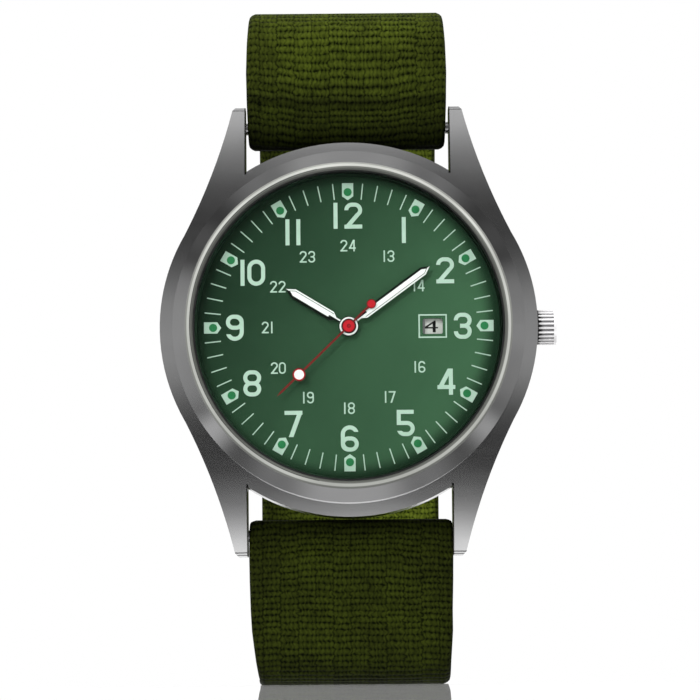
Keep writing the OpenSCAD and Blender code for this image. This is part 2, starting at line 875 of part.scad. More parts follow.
module setting_lever() {
    lever_t = 0.2;
    lever_w = 0.5;
    rest_turn = asin(crown_pull / 2 / lever_arm);
    pin_place = [groove_start + groove_w / 2, lever_arm * (1 - cos(rest_turn))];
    lever_pin_r = 0.2;
    pin_foot = stem_level + stem_r * 0.6;
    color("silver") {
        difference() {
            union() {
                translate([lever_place()[0], 0, lever_place()[1]])
                    facing(plate_top + run, lever_t) rotate(-90 - rest_turn)
                        translate([0, -lever_w / 2]) square([lever_arm, lever_w]);
                post(lever_place(), 0.55, plate_top + run, lever_t);
            }
            post(lever_place(), 0.3 + run, plate_top - 1, 2);
        }
        post(pin_place, lever_pin_r, pin_foot, plate_top + run - pin_foot);
    }
}

module crown() {
    groove_r = 0.14;
    rim_w = 0.25;
    color("silver") difference() {
        along_x(crown_start, crown_l, crown_r);
        along_x(crown_start - 1, crown_l - crown_cap + 1, crown_bore_r);
        for (groove = [0 : crown_grooves - 1]) translate([0, -stem_level, 0])
            rotate([groove * 360 / crown_grooves, 0, 0])
                translate([crown_start - 1, crown_r, 0]) rotate([0, 90, 0])
                    cylinder(h = crown_l - rim_w + 1, r = groove_r);
    }
}

module crown_gasket() {
    color("black") difference() {
        along_x(crown_start + 0.25, 0.4, crown_bore_r);
        along_x(crown_start, 1, tube_r + run / 2);
    }
}

// Train
module rotor() {
    magnet_r = 0.85;
    color("dimgray") {
        post(rotor_place, arbor_r, bridge_level, plate_level + 0.3 - bridge_level);
        wheel(rotor_place, rotor_teeth, rotor_module, layer_a, 0.3);
        post(rotor_place, magnet_r, layer_a + 0.35, 0.65);
    }
}

module intermediate_wheel() {
    color("gold") {
        post(intermediate_place, arbor_r, bridge_level, layer_b - bridge_level);
        post(intermediate_place, arbor_r, layer_b, plate_level + 0.3 - layer_b);
        wheel(intermediate_place, intermediate_teeth, rotor_module, layer_a, wheel_t);
        wheel(intermediate_place, intermediate_pinion_teeth, fast_module, layer_a + wheel_t, 0.4);
    }
}

module second_wheel() {
    color("gold") {
        post([0, 0], second_arbor_r, bridge_level, second_hand_level - bridge_level);
        wheel([0, 0], second_teeth, fast_module, layer_b, wheel_t);
        wheel([0, 0], second_pinion_teeth, third_module, layer_b + wheel_t, layer_c + wheel_t - layer_b - wheel_t);
    }
}

module third_wheel() {
    color("gold") {
        post(third_place, arbor_r, bridge_level, bridge_drop + arbor_end);
        wheel(third_place, third_teeth, third_module, layer_c, wheel_t);
        wheel(third_place, third_pinion_teeth, centre_module, layer_c + wheel_t, layer_d - layer_c);
    }
}

module centre_wheel() {
    color("gold") difference() {
        union() {
            wheel([0, 0], centre_teeth, centre_module, layer_d, wheel_t);
            post([0, 0], cannon_r, layer_d, plate_top - layer_d);
        }
        post([0, 0], cannon_bore_r, layer_d - 1, plate_t + 2);
    }
}

module cannon_pinion() {
    color("gold") difference() {
        union() {
            post([0, 0], cannon_r, plate_top + slip, minute_hand_level + hand_t - plate_top - slip);
            wheel([0, 0], cannon_teeth, cannon_module, motion_level, 0.4);
        }
        post([0, 0], cannon_bore_r, plate_top - 1, 6);
    }
}

module minute_wheel() {
    color("gold") difference() {
        union() {
            wheel(minute_place, minute_teeth, cannon_module, motion_level, wheel_t);
            wheel(minute_place, minute_pinion_teeth, hour_module, motion_level + wheel_t, 0.5);
        }
        post(minute_place, arbor_r + run, plate_top - 1, 3);
    }
}

module hour_wheel() {
    color("gold") difference() {
        union() {
            wheel([0, 0], hour_teeth, hour_module, hour_wheel_level, wheel_t);
            wheel([0, 0], hour_pinion_teeth, date_module, hour_wheel_level + wheel_t,
                  date_drive_level - hour_wheel_level - wheel_t / 2);
            post([0, 0], hour_pipe_r, hour_wheel_level, hour_hand_level + hand_t - hour_wheel_level);
        }
        post([0, 0], hour_bore_r, plate_top, 4);
    }
}

module date_wheel() {
    finger_reach = date_bore_r - date_tooth - slip - norm(date_place);
    color("gold") difference() {
        union() {
            wheel(date_place, date_teeth, date_module, date_drive_level, wheel_t);
            translate([date_place[0], 0, date_place[1]]) facing(finger_level, finger_t)
                rotate(160) translate([0, -finger_w / 2]) square([finger_reach, finger_w]);
        }
        post(date_place, arbor_r + run, plate_top, 3);
    }
}

module date_ring() {
    date_step = 360 / days;
    color("darkgray") facing(date_ring_level, date_ring_t) {
        annulus(date_ring_r, date_bore_r);
        for (day = [0 : days - 1]) rotate((day + 0.5) * date_step) polygon([
            [date_bore_r - date_tooth, -0.12], [date_bore_r + 0.1, -0.5], [date_bore_r + 0.1, 0.5],
            [date_bore_r - date_tooth, 0.12]
        ]);
    }
}

// Hands
module hand_blade(length, width, neck_end) {
    shoulder = 0.5;
    point = width * 0.9;
    polygon([
        [-neck_w / 2, 0], [neck_w / 2, 0], [neck_w / 2, neck_end - shoulder], [width / 2, neck_end],
        [width / 2, length - point], [0, length], [-width / 2, length - point], [-width / 2, neck_end],
        [-neck_w / 2, neck_end - shoulder]
    ]);
}

module lume_blade(length, width, neck_end) {
    point = width * 0.9;
    inset_w = width / 2 - frame_edge;
    polygon([
        [-inset_w, neck_end + frame_edge], [inset_w, neck_end + frame_edge], [inset_w, length - point],
        [0, length - frame_edge * 2], [-inset_w, length - point]
    ]);
}

neck_end = 2;

module hand(length, width, angle, level, hub, bore) {
    color("silver") facing(level, hand_t) difference() {
        union() {
            rotate(-angle) hand_blade(length, width, neck_end);
            circle(hub);
        }
        rotate(-angle) lume_blade(length, width, neck_end);
        circle(bore);
    }
}

module lume(length, width, angle, level) {
    color("white") facing(level + hand_t * 0.2, hand_t * 0.7) rotate(-angle) lume_blade(length, width, neck_end);
}

module hour_hand() {
    hand(hour_hand_l, hour_hand_w, hour_angle, hour_hand_level, hour_pipe_r + 0.3, hour_pipe_r);
}

module hour_lume() {
    lume(hour_hand_l, hour_hand_w, hour_angle, hour_hand_level);
}

module minute_hand() {
    hand(minute_hand_l, minute_hand_w, minute_angle, minute_hand_level, hub_r, cannon_r);
}

module minute_lume() {
    lume(minute_hand_l, minute_hand_w, minute_angle, minute_hand_level);
}

module second_hand() {
    needle_w = 0.2;
    needle_point = 0.6;
    tail_l = 3.13;
    counter_r = 0.47;
    dot_ring_r = 0.66;
    color("firebrick") facing(second_hand_level, second_hand_t) rotate(-second_angle) difference() {
        union() {
            polygon([
                [-needle_w / 2, -tail_l], [needle_w / 2, -tail_l], [needle_w / 2, second_hand_l - needle_point],
                [0, second_hand_l], [-needle_w / 2, second_hand_l - needle_point]
            ]);
            circle(0.65);
            translate([0, -tail_l]) circle(counter_r);
            translate([0, second_dot_r]) circle(dot_ring_r);
        }
        translate([0, second_dot_r]) circle(second_dot_hole);
    }
}

second_dot_hole = 0.49;

module second_dot() {
    color("white") facing(second_hand_level + 0.01, second_hand_t) rotate(-second_angle)
        translate([0, second_dot_r]) circle(second_dot_hole);
}

// Spring bars
module bar_tube(y, z, half_length) {
    difference() {
        bar_x(y, z, 2 * half_length, bar_r);
        bar_x(y, z, 2 * half_length + 1, pin_r + slip);
    }
}

module bar_tubes() {
    color("silver") for (end = [-1, 1]) bar_tube(bar_y, end * bar_reach, lug_gap / 2 - pin_travel - 0.4);
}

pin_travel = pin_grip + 0.1;

// End pin of a spring bar; side is -1 or 1 along X and end is -1 or 1 along Z
module end_pin(side, end) {
    pin_inner = lug_gap / 2 - 3;
    flange_t = 0.25;
    color("silver") translate([0, bar_y, end * bar_reach]) mirror([side < 0 ? 1 : 0, 0, 0]) rotate([0, 90, 0]) {
        translate([0, 0, pin_inner]) cylinder(h = lug_gap / 2 + pin_grip - pin_inner, r = pin_r);
        translate([0, 0, lug_gap / 2 - slip - flange_t]) cylinder(h = flange_t, r = bar_r * 0.8);
    }
}

module upper_pin_right() {
    end_pin(1, 1);
}

module upper_pin_left() {
    end_pin(-1, 1);
}

module lower_pin_right() {
    end_pin(1, -1);
}

module lower_pin_left() {
    end_pin(-1, -1);
}

module buckle_bar() {
    color("silver") {
        bar_x(buckle_reach, 0, 2 * (rail_gap - slip), bar_r);
        bar_x(buckle_reach, 0, 2 * (rail_gap + rail_w), pin_r);
    }
}

// Strap: each half is one band, drawn over Y and Z as its two sides; side is 1 on the band's left and -1 on its right
function bend(centre, r, from, to) =
    let (steps = ceil(abs(to - from) / 6))
    [for (step = [0 : steps]) let (turn = from + (to - from) * step / steps) centre + r * [cos(turn), sin(turn)]];

function backwards(points) = [for (index = [len(points) - 1 : -1 : 0]) points[index]];

// From the end of the sewn flap, round the spring bar, up the front and over both bends
function case_half(side, reach) =
    let (
        half = side * web_t / 2,
        flap_y = front_y + 1.5 * web_t + layer_gap,
        front_bend = [front_bend_y, reach - front_bend_r]
    )
    concat(
        [[flap_y + half, front_bend[1]], [flap_y + half, bar_reach + taper_l]],
        bend([bar_y, bar_reach], fold_mid + half, 0, -180),
        bend(front_bend, front_bend_r - web_t / 2 + half, 180, 90)
    );

function upper_side(side) =
    let (half = side * web_t / 2)
    concat(
        case_half(side, top_reach),
        bend([rear_bend_y, rear_bend_z], rear_bend_r - web_t / 2 + half, 90, 0),
        [[main_y - web_t / 2 + half, taper_l]],
        bend([buckle_reach, 0], fold_mid - half, 180, 360),
        [[buckle_reach + fold_mid - half, flap_l]]
    );

function lower_side(side) =
    let (half = side * web_t / 2, tail_mid = tail_y + web_t / 2)
    concat(
        case_half(side, foot_reach),
        bend([under_bend_y, under_bend_z], rear_bend_r - web_t / 2 + half, 90, 0),
        bend([under_y - web_t / 2 + swing_r, -swing_start], swing_r - half, 180, 180 + swing_angle),
        bend([tail_mid - swing_r, 0], swing_r + half, swing_angle, 0),
        bend([rear_bend_y, -rear_bend_z], tail_mid - rear_bend_y + half, 0, -tail_sweep)
    );

module upper_strap() {
    color("darkolivegreen") difference() {
        across(strap_w) polygon(concat(upper_side(1), backwards(upper_side(-1))));
        translate([-tongue_slot, buckle_reach - fold_out - 1, -fold_out - 1])
            cube([2 * tongue_slot, 2 * fold_out + 2, 2 * fold_out + 2]);
    }
}

module strap_hole(y, z, tilt) {
    translate([0, y, z]) rotate([tilt, 0, 0]) cylinder(h = 3 * web_t, r = hole_d / 2, center = true);
}

module lower_strap() {
    mid_y = (under_y - web_t / 2 + tail_y + web_t / 2) / 2;
    color("darkolivegreen") difference() {
        across(strap_w) mirror([0, 1]) polygon(concat(lower_side(1), backwards(lower_side(-1))));
        strap_hole(mid_y, -swing_half + 0.05, 90 - swing_angle);
        for (step = [1, 2]) strap_hole(tail_y + web_t / 2, step * hole_pitch - swing_path, 90);
        for (step = [1 : 3]) strap_hole(under_y - web_t / 2, swing_start + swing_path - step * hole_pitch, 90);
    }
}

// Keepers
module keeper(start_z, width, inner_y, outer_y) {
    translate([0, 0, start_z]) linear_extrude(width) difference() {
        translate([-keeper_half - keeper_t, inner_y - keeper_t])
            square([2 * (keeper_half + keeper_t), outer_y - inner_y + 2 * keeper_t]);
        translate([-keeper_half, inner_y]) square([2 * keeper_half, outer_y - inner_y]);
    }
}

module fixed_keeper() {
    color("darkolivegreen") keeper(fixed_keeper_z, fixed_keeper_w, main_y - web_t, tail_y + web_t + soft_gap);
}

module free_keeper() {
    color("darkolivegreen")
        keeper(free_keeper_z, free_keeper_w, main_y - web_t - keeper_gap, tail_y + web_t + keeper_gap);
}

// Buckle
module buckle_frame() {
    end_z = buckle_l + far_bar_r;
    head_z = 1.2;
    color("silver") difference() {
        union() {
            for (side = [-1, 1]) translate([side * (rail_gap + rail_w / 2), 0, 0]) across(rail_w) {
                translate([buckle_reach, 0]) circle(head_z);
                translate([far_bar_y - rail_t / 2, -buckle_l]) square([rail_t, buckle_l]);
                translate([far_bar_y, -buckle_l]) circle(rail_t / 2);
            }
            bar_x(far_bar_y, -buckle_l, 2 * rail_gap + rail_w, far_bar_r);
        }
        bar_x(buckle_reach, 0, 2 * (rail_gap + rail_w) + 1, pin_r + run);
    }
}

module buckle_tongue() {
    tongue_l = buckle_l + tongue_tip;
    color("silver") difference() {
        union() {
            bar_x(buckle_reach, 0, 2 * (tongue_slot - soft_gap), tongue_ring_r);
            translate([0, buckle_reach, 0]) rotate([180 + tongue_rise, 0, 0]) {
                cylinder(h = tongue_l - tongue_r, r = tongue_r);
                translate([0, 0, tongue_l - tongue_r]) sphere(tongue_r);
            }
        }
        bar_x(buckle_reach, 0, 3, bar_r + slip);
    }
}

case_middle();
bezel();
rim();
crystal();
crystal_gasket();
rehaut_ring();
case_back();
back_gasket();
crown_tube();
dial();
hour_plots();
plot_dots();
hour_numerals();
inner_numerals();
fine_print();
movement_ring();
main_plate();
train_bridge();
movement_screws();
circuit_board();
quartz_can();
coil();
stator();
battery();
battery_clamp();
calendar_plate();
date_jumper();
setting_pinion();
setting_lever();
stem();
crown();
crown_gasket();
rotor();
intermediate_wheel();
second_wheel();
second_hand();
second_dot();
third_wheel();
centre_wheel();
cannon_pinion();
minute_hand();
minute_lume();
minute_wheel();
hour_wheel();
hour_hand();
hour_lume();
date_wheel();
date_ring();
bar_tubes();
buckle_bar();
upper_strap();
lower_strap();
fixed_keeper();
free_keeper();
buckle_frame();
buckle_tongue();
upper_pin_right();
upper_pin_left();
lower_pin_right();
lower_pin_left();
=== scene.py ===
import math

import bpy
import numpy as np
from mathutils import Matrix, Vector


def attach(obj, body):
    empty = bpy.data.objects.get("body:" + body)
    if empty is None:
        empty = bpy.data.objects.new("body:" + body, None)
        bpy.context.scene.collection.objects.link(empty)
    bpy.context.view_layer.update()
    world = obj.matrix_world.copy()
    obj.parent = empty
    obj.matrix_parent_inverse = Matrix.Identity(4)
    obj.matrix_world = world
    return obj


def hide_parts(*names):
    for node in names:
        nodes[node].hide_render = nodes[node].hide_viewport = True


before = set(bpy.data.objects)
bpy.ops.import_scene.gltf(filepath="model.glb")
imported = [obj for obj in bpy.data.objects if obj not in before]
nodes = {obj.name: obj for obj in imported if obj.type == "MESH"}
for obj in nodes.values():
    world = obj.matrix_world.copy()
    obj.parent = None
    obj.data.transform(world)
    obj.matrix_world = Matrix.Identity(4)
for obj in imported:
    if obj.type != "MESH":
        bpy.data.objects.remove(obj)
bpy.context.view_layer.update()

MM = 0.001
IN_MM = 1000
FINE_RELIEF = 0.00002
NUB_RELIEF = 0.00012


# Places that the strap and the keepers share with the solids, in millimetres

WEB = 1.3
BAR_REACH = 20.5
BAR_Y = -2.4
FOLD_MID = 1.55
LOW_FOLD_MID = 1.22
FRONT_MID = BAR_Y - FOLD_MID
FLAP_MID = FRONT_MID + WEB + 0.05
FRONT_BEND_Y = 0.4
FRONT_BEND_R = 4.35
TOP_REACH = 32.7
FOOT_REACH = 35.3
BUCKLE_Y = 47.4
MAIN_MID = 47.6
REAR_BEND_R = 14.35
TAIL_MID = 50.4
UNDER_MID = 45.7
SWING_ANGLE = 55
SWING_R = (TAIL_MID - UNDER_MID) / 2 / (1 - math.cos(math.radians(SWING_ANGLE)))
SWING_START = 2 * SWING_R * math.sin(math.radians(SWING_ANGLE))
TAIL_SWEEP = 40
FRONT_BEND_IN = FRONT_BEND_R + WEB / 2
REAR_BEND_IN = REAR_BEND_R + WEB / 2
FLAP_SLOPE = 4
FRONT_SLOPE = 2.6
HOLE_PITCH = 6.5
HOLE_R = 1.1
CUT_HOLES = range(-1, 3)


# The weave: nubs in a group, a group's width, a rib's height and the lengths of a row in millimetres

NUBS = 4.0
GROUP = 1.75
RIB_H = 0.07
UPPER_ROW = 0.71
LOWER_ROW = 0.61
KEEPER_ROW = 0.62
UV_START = 40
HALF_WEB = 9.9


# Places on the case and the hands that finishes follow, in millimetres; angles from twelve in degrees

LUG_WALL_X = 10.2
LUG_ROOT_Z = 15.5
WALL_LINE = 0.1
CROWN_Y = -4.4
CASE_FLANK_X = 18.8
CROWN_END_X = 20
RIM_INNER_R = 15
HOUR = (301.3, 7.25, 0.95, 0.25)
MINUTE = (53.8, 9.98, 0.87, 0.21)
SECOND_ANGLE = 225.9


# Finishes

def new_finish(name):
    """An empty node material with its shader, ready for a finish."""
    material = bpy.data.materials.new(name)
    material.use_nodes = True
    tree = material.node_tree
    shader = tree.nodes["Principled BSDF"]
    return material, tree, shader


def add(tree, kind, **settings):
    """A new node; each setting is an input's value or else a property."""
    node = tree.nodes.new(kind)
    for key, value in settings.items():
        if key in node.inputs:
            node.inputs[key].default_value = value
        else:
            setattr(node, key, value)
    return node


def sums(tree, operation, first, second=None):
    """One sum on sockets or plain values."""
    step = add(tree, "ShaderNodeMath", operation=operation)
    for slot, value in enumerate((first, second)):
        if value is None:
            continue
        if isinstance(value, (int, float)):
            step.inputs[slot].default_value = value
        else:
            tree.links.new(value, step.inputs[slot])
    return step.outputs["Value"]


def within(tree, value, low, high):
    """1 where a value lies between two limits, and 0 elsewhere."""
    above = sums(tree, "GREATER_THAN", value, low)
    return sums(tree, "MULTIPLY", above, sums(tree, "LESS_THAN", value, high))


def ranged(tree, value, low, high, start=0, end=1, kind="LINEAR"):
    """A value from low to high turned into one from start to end."""
    spread = add(tree, "ShaderNodeMapRange", interpolation_type=kind)
    for limit, number in (("From Min", low), ("From Max", high), ("To Min", start), ("To Max", end)):
        spread.inputs[limit].default_value = number
    tree.links.new(value, spread.inputs["Value"])
    return spread.outputs["Result"]


def share_along(tree, part, slope):
    """A share that is a half where the part is 0 and changes by slope for each unit of it."""
    return sums(tree, "ADD", sums(tree, "MULTIPLY", part, slope), 0.5)


def object_parts(tree):
    """Object coordinates as separate X, Y and Z, in metres."""
    place = add(tree, "ShaderNodeTexCoord")
    split = add(tree, "ShaderNodeSeparateXYZ")
    tree.links.new(place.outputs["Object"], split.inputs["Vector"])
    return split.outputs


def turned_parts(tree, angle):
    """Object coordinates as separate X, Y and Z, in millimetres, turned about Y by an angle in degrees."""
    place = add(tree, "ShaderNodeTexCoord")
    turn = add(tree, "ShaderNodeMapping")
    turn.inputs["Scale"].default_value = (IN_MM, IN_MM, IN_MM)
    turn.inputs["Rotation"].default_value = (0, math.radians(angle), 0)
    tree.links.new(place.outputs["Object"], turn.inputs["Vector"])
    split = add(tree, "ShaderNodeSeparateXYZ")
    tree.links.new(turn.outputs["Vector"], split.inputs["Vector"])
    return split.outputs


def away_in(tree, scale, shift):
    """Length of the object coordinates after a scale along each axis and a shift."""
    place = add(tree, "ShaderNodeTexCoord")
    flat = add(tree, "ShaderNodeMapping")
    flat.inputs["Scale"].default_value = scale
    flat.inputs["Location"].default_value = shift
    tree.links.new(place.outputs["Object"], flat.inputs["Vector"])
    away = add(tree, "ShaderNodeVectorMath", operation="LENGTH")
    tree.links.new(flat.outputs["Vector"], away.inputs[0])
    return away.outputs["Value"]


def away_from(tree, x, z):
    """Distance from a place on the dial's plane, in millimetres."""
    return away_in(tree, (IN_MM, 0, IN_MM), (-x, 0, -z))


def object_place(tree, scale):
    """Object coordinates stretched by a scale along each axis."""
    place = add(tree, "ShaderNodeTexCoord")
    mapping = add(tree, "ShaderNodeMapping")
    mapping.inputs["Scale"].default_value = scale
    tree.links.new(place.outputs["Object"], mapping.inputs["Vector"])
    return mapping.outputs["Vector"]


def grain(tree, scale, size, detail):
    """Noise over the object, stretched by scale; size is the noise scale."""
    noise = add(tree, "ShaderNodeTexNoise", Scale=size, Detail=detail)
    tree.links.new(object_place(tree, scale), noise.inputs["Vector"])
    return noise.outputs["Fac"]


def shades(tree, factor, dark, light, low=0.3, high=0.7):
    """Two colours blended over a factor."""
    ramp = add(tree, "ShaderNodeValToRGB")
    ramp.color_ramp.elements[0].position = low
    ramp.color_ramp.elements[0].color = (*dark, 1)
    ramp.color_ramp.elements[1].position = high
    ramp.color_ramp.elements[1].color = (*light, 1)
    tree.links.new(factor, ramp.inputs["Fac"])
    return ramp.outputs["Color"]


def tinted(tree, under, over, amount):
    """One colour multiplied over another."""
    blend = add(tree, "ShaderNodeMix", data_type="RGBA", blend_type="MULTIPLY")
    blend.inputs["Factor"].default_value = amount
    tree.links.new(under, blend.inputs["A"])
    tree.links.new(over, blend.inputs["B"])
    return blend.outputs["Result"]


def rough_between(tree, shader, factor, low, high):
    """Roughness between two levels over a factor."""
    tree.links.new(ranged(tree, factor, 0, 1, low, high), shader.inputs["Roughness"])


def relief(tree, shader, height, strength, distance):
    """A bump from a height."""
    bump = add(tree, "ShaderNodeBump", Strength=strength, Distance=distance)
    tree.links.new(height, bump.inputs["Height"])
    tree.links.new(bump.outputs["Normal"], shader.inputs["Normal"])


def brushed_metal(name, dark, light, low, high, stretch, strength=0.15):
    """Metal with fine brush marks: stretch sets their direction."""
    material, tree, shader = new_finish(name)
    marks = grain(tree, stretch, 900, 3.0)
    clouds = grain(tree, (1, 1, 1), 120, 2.0)
    tree.links.new(shades(tree, clouds, dark, light), shader.inputs["Base Color"])
    rough_between(tree, shader, marks, low, high)
    relief(tree, shader, marks, strength, FINE_RELIEF)
    shader.inputs["Metallic"].default_value = 1
    return material


def painted(name, dark, light, low, high, size=700):
    """Lacquer, print or moulded plastic with faint mottling."""
    material, tree, shader = new_finish(name)
    mottle = grain(tree, (1, 1, 1), size, 3.0)
    tree.links.new(shades(tree, mottle, dark, light), shader.inputs["Base Color"])
    rough_between(tree, shader, mottle, low, high)
    relief(tree, shader, mottle, 0.05, FINE_RELIEF)
    return material


def case_steel(plain_steel):
    """A copy of a steel with painted shade on the lugs' inner walls, standing in for their shadow and for
    their mirroring of the dark edges of the strap.
    """
    material = plain_steel.copy()
    material.name = "case_steel"
    tree = material.node_tree
    shader = tree.nodes["Principled BSDF"]
    plain = shader.inputs["Base Color"].links[0].from_socket
    parts = object_parts(tree)
    from_middle = sums(tree, "ABSOLUTE", parts["X"])
    from_wall = sums(tree, "ABSOLUTE", sums(tree, "SUBTRACT", from_middle, LUG_WALL_X * MM))
    on_lug = sums(tree, "GREATER_THAN", sums(tree, "ABSOLUTE", parts["Z"]), LUG_ROOT_Z * MM)
    # Painted shade: a dark band on the lugs' inner walls.
    wall = sums(tree, "MULTIPLY", on_lug, sums(tree, "LESS_THAN", from_wall, WALL_LINE * MM))
    tone = tinted(tree, plain, shades(tree, wall, (1, 1, 1), (0.1, 0.1, 0.09)), 1.0)
    tree.links.new(tone, shader.inputs["Base Color"])
    return material


def dial_lacquer():
    """Green lacquer with painted light towards the lower right and painted shade at the edge of the dial."""
    material, tree, shader = new_finish("dial_lacquer")
    # Painted light: the lacquer grows lighter towards the lower right.
    side = ranged(tree, turned_parts(tree, -25)["X"], -16, 12)
    tone = shades(tree, side, (0.0097, 0.0305, 0.015), (0.052, 0.136, 0.067), 0.0, 1.0)
    # Painted shade: the lacquer darkens towards the edge of the dial.
    edge = ranged(tree, away_from(tree, -0.8, 0.35), 13.8, 15.6, kind="SMOOTHSTEP")
    tone = tinted(tree, tone, shades(tree, edge, (1, 1, 1), (0.22, 0.26, 0.25), 0, 1), 1.0)
    clouds = grain(tree, (1, 1, 1), 90, 2.0)
    tone = tinted(tree, tone, shades(tree, clouds, (0.8, 0.8, 0.82), (1.15, 1.15, 1.15)), 0.6)
    flecks = grain(tree, (1, 1, 1), 2500, 2.0)
    tone = tinted(tree, tone, shades(tree, flecks, (0.6, 0.6, 0.6), (1, 1, 1)), 0.12)
    tree.links.new(tone, shader.inputs["Base Color"])
    rough_between(tree, shader, flecks, 0.45, 0.6)
    shader.inputs["Specular IOR Level"].default_value = 0.15
    return material


def dial_wall():
    """The wall round the dial, with painted shade: dark green on the left and nearly black on the right."""
    material, tree, shader = new_finish("dial_wall")
    # Painted shade: the wall darkens towards the right.
    side = share_along(tree, object_parts(tree)["X"], 33)
    tone = shades(tree, side, (0.03, 0.07, 0.04), (0.006, 0.014, 0.008), 0.05, 0.75)
    mottle = grain(tree, (1, 1, 1), 700, 3.0)
    tone = tinted(tree, tone, shades(tree, mottle, (0.7, 0.7, 0.7), (1.2, 1.2, 1.2)), 0.8)
    tree.links.new(tone, shader.inputs["Base Color"])
    rough_between(tree, shader, mottle, 0.4, 0.55)
    shader.inputs["Specular IOR Level"].default_value = 0.2
    return material


def ringed_red():
    """Red lacquer: clear red on the discs with painted shade round their rims, darker on the needle, a dark
    pin in the hub.
    """
    material, tree, shader = new_finish("red_lacquer")
    angle = math.radians(SECOND_ANGLE)
    inside = None
    rims = None
    overlap, rim_wide = 0.02, 0.09
    hub_counterweight_dot = ((0, 0.65), (-3.13, 0.47), (6.9, 0.66))
    # Painted shade: a dark rim round the edge of each disc.
    for along, radius in hub_counterweight_dot:
        off = away_from(tree, along * math.sin(angle), along * math.cos(angle))
        disc = sums(tree, "LESS_THAN", off, radius + overlap)
        rim = sums(tree, "MULTIPLY", disc, sums(tree, "GREATER_THAN", off, radius - rim_wide))
        inside = disc if inside is None else sums(tree, "MAXIMUM", inside, disc)
        rims = rim if rims is None else sums(tree, "MAXIMUM", rims, rim)
    centre = away_from(tree, 0, 0)
    pin = sums(tree, "MAXIMUM", within(tree, centre, 0.1, 0.2), sums(tree, "LESS_THAN", centre, 0.06))
    dark = sums(tree, "MAXIMUM", rims, pin)
    mottle = grain(tree, (1, 1, 1), 1500, 2.0)
    tone = shades(tree, inside, (0.2, 0.009, 0.007), (0.6, 0.004, 0.014), 0.2, 0.8)
    tone = tinted(tree, tone, shades(tree, dark, (1, 1, 1), (0.3, 0.3, 0.3), 0.2, 0.8), 1.0)
    tree.links.new(tinted(tree, tone, shades(tree, mottle, (0.7, 0.7, 0.7), (1.1, 1.1, 1.1)), 0.4),
                   shader.inputs["Base Color"])
    rough_between(tree, shader, mottle, 0.3, 0.45)
    return material


def hand_finish(name, dark, light, angle, length, width, edge):
    """A hand's top with painted facet reflections and painted shadow: black along its left side and neck, a
    fine dark line along the other, a hub ringed with painted shadow.
    """
    material, tree, shader = new_finish(name)
    parts = turned_parts(tree, -angle)
    across, along = parts["X"], parts["Z"]
    off = sums(tree, "ABSOLUTE", across)
    point = 0.9 * width
    slope = math.hypot(point, width / 2)
    to_tip = sums(tree, "SUBTRACT", length, along)
    ahead = sums(tree, "SUBTRACT", sums(tree, "MULTIPLY", to_tip, width / 2 / slope),
                 sums(tree, "MULTIPLY", off, point / slope))
    inset = sums(tree, "MINIMUM", sums(tree, "SUBTRACT", width / 2, off), ahead)
    # Painted reflection of dark facets: black on the left of the blade and neck, a fine dark line on the
    # blade's right.
    left = sums(tree, "LESS_THAN", across, 0)
    blade = sums(tree, "MULTIPLY", left, sums(tree, "LESS_THAN", inset, edge))
    line = sums(tree, "MULTIPLY", sums(tree, "GREATER_THAN", along, 1.9), within(tree, inset, 0.15, 0.2))
    off_middle = sums(tree, "LESS_THAN", across, -0.02)
    neck = sums(tree, "MULTIPLY", off_middle, sums(tree, "LESS_THAN", along, 2.25))
    centre = away_from(tree, 0, 0)
    hub_r, ring_r, disc_r = 1.02, 0.92, 0.74
    marks = sums(tree, "MAXIMUM", sums(tree, "MAXIMUM", blade, line), neck)
    marks = sums(tree, "MULTIPLY", sums(tree, "GREATER_THAN", centre, hub_r), marks)
    # Painted shadow: a dark ring round the hub and a dark middle.
    hub = sums(tree, "MAXIMUM", within(tree, centre, ring_r, hub_r), sums(tree, "LESS_THAN", centre, disc_r))
    black = shades(tree, sums(tree, "MAXIMUM", marks, hub), (1, 1, 1), (0.008, 0.012, 0.009), 0.2, 0.8)
    mottle = grain(tree, (1, 1, 1), 700, 3.0)
    tree.links.new(tinted(tree, shades(tree, mottle, dark, light), black, 1.0), shader.inputs["Base Color"])
    rough_between(tree, shader, mottle, 0.4, 0.55)
    shader.inputs["Specular IOR Level"].default_value = 0.15
    return material


def crown_steel():
    """Polished steel: painted shade in the hollows between the ridges, a painted shadow at the foot by the
    case, a bright end with a painted dark outline.
    """
    material, tree, shader = new_finish("crown_steel")
    off = away_in(tree, (0, IN_MM, IN_MM), (0, -CROWN_Y, 0))
    along = sums(tree, "MULTIPLY", object_parts(tree)["X"], IN_MM)
    # Painted shade in the hollows between the ridges.
    ridge = shades(tree, sums(tree, "SUBTRACT", off, 1), (0, 0, 0), (1, 1, 1), 0.6, 0.7)
    # Painted shadow at the foot, where the crown meets the case.
    from_case = sums(tree, "SUBTRACT", along, CASE_FLANK_X)
    foot = shades(tree, sums(tree, "ADD", from_case, sums(tree, "MULTIPLY", ridge, 0.35)),
                  (0.02, 0.02, 0.02), (1, 1, 1), 0.38, 0.48)
    ridge = shades(tree, ridge, (0.16, 0.16, 0.165), (0.93, 0.92, 0.93), 0, 1)
    # A bright end with a painted dark outline at its edge.
    out = sums(tree, "SUBTRACT", along, CROWN_END_X)
    cap = tinted(tree, shades(tree, out, (0, 0, 0), (0.75, 0.75, 0.75), 0.38, 0.42),
                 shades(tree, out, (1, 1, 1), (0.25, 0.25, 0.25), 0.5, 0.54), 1.0)
    capped = add(tree, "ShaderNodeMix", data_type="RGBA", blend_type="LIGHTEN")
    capped.inputs["Factor"].default_value = 1
    tree.links.new(ridge, capped.inputs["A"])
    tree.links.new(cap, capped.inputs["B"])
    marks = grain(tree, (0.15, 1, 1), 1400, 2.0)
    tree.links.new(tinted(tree, capped.outputs["Result"], foot, 1.0), shader.inputs["Base Color"])
    rough_between(tree, shader, marks, 0.22, 0.36)
    shader.inputs["Metallic"].default_value = 0.2
    return material


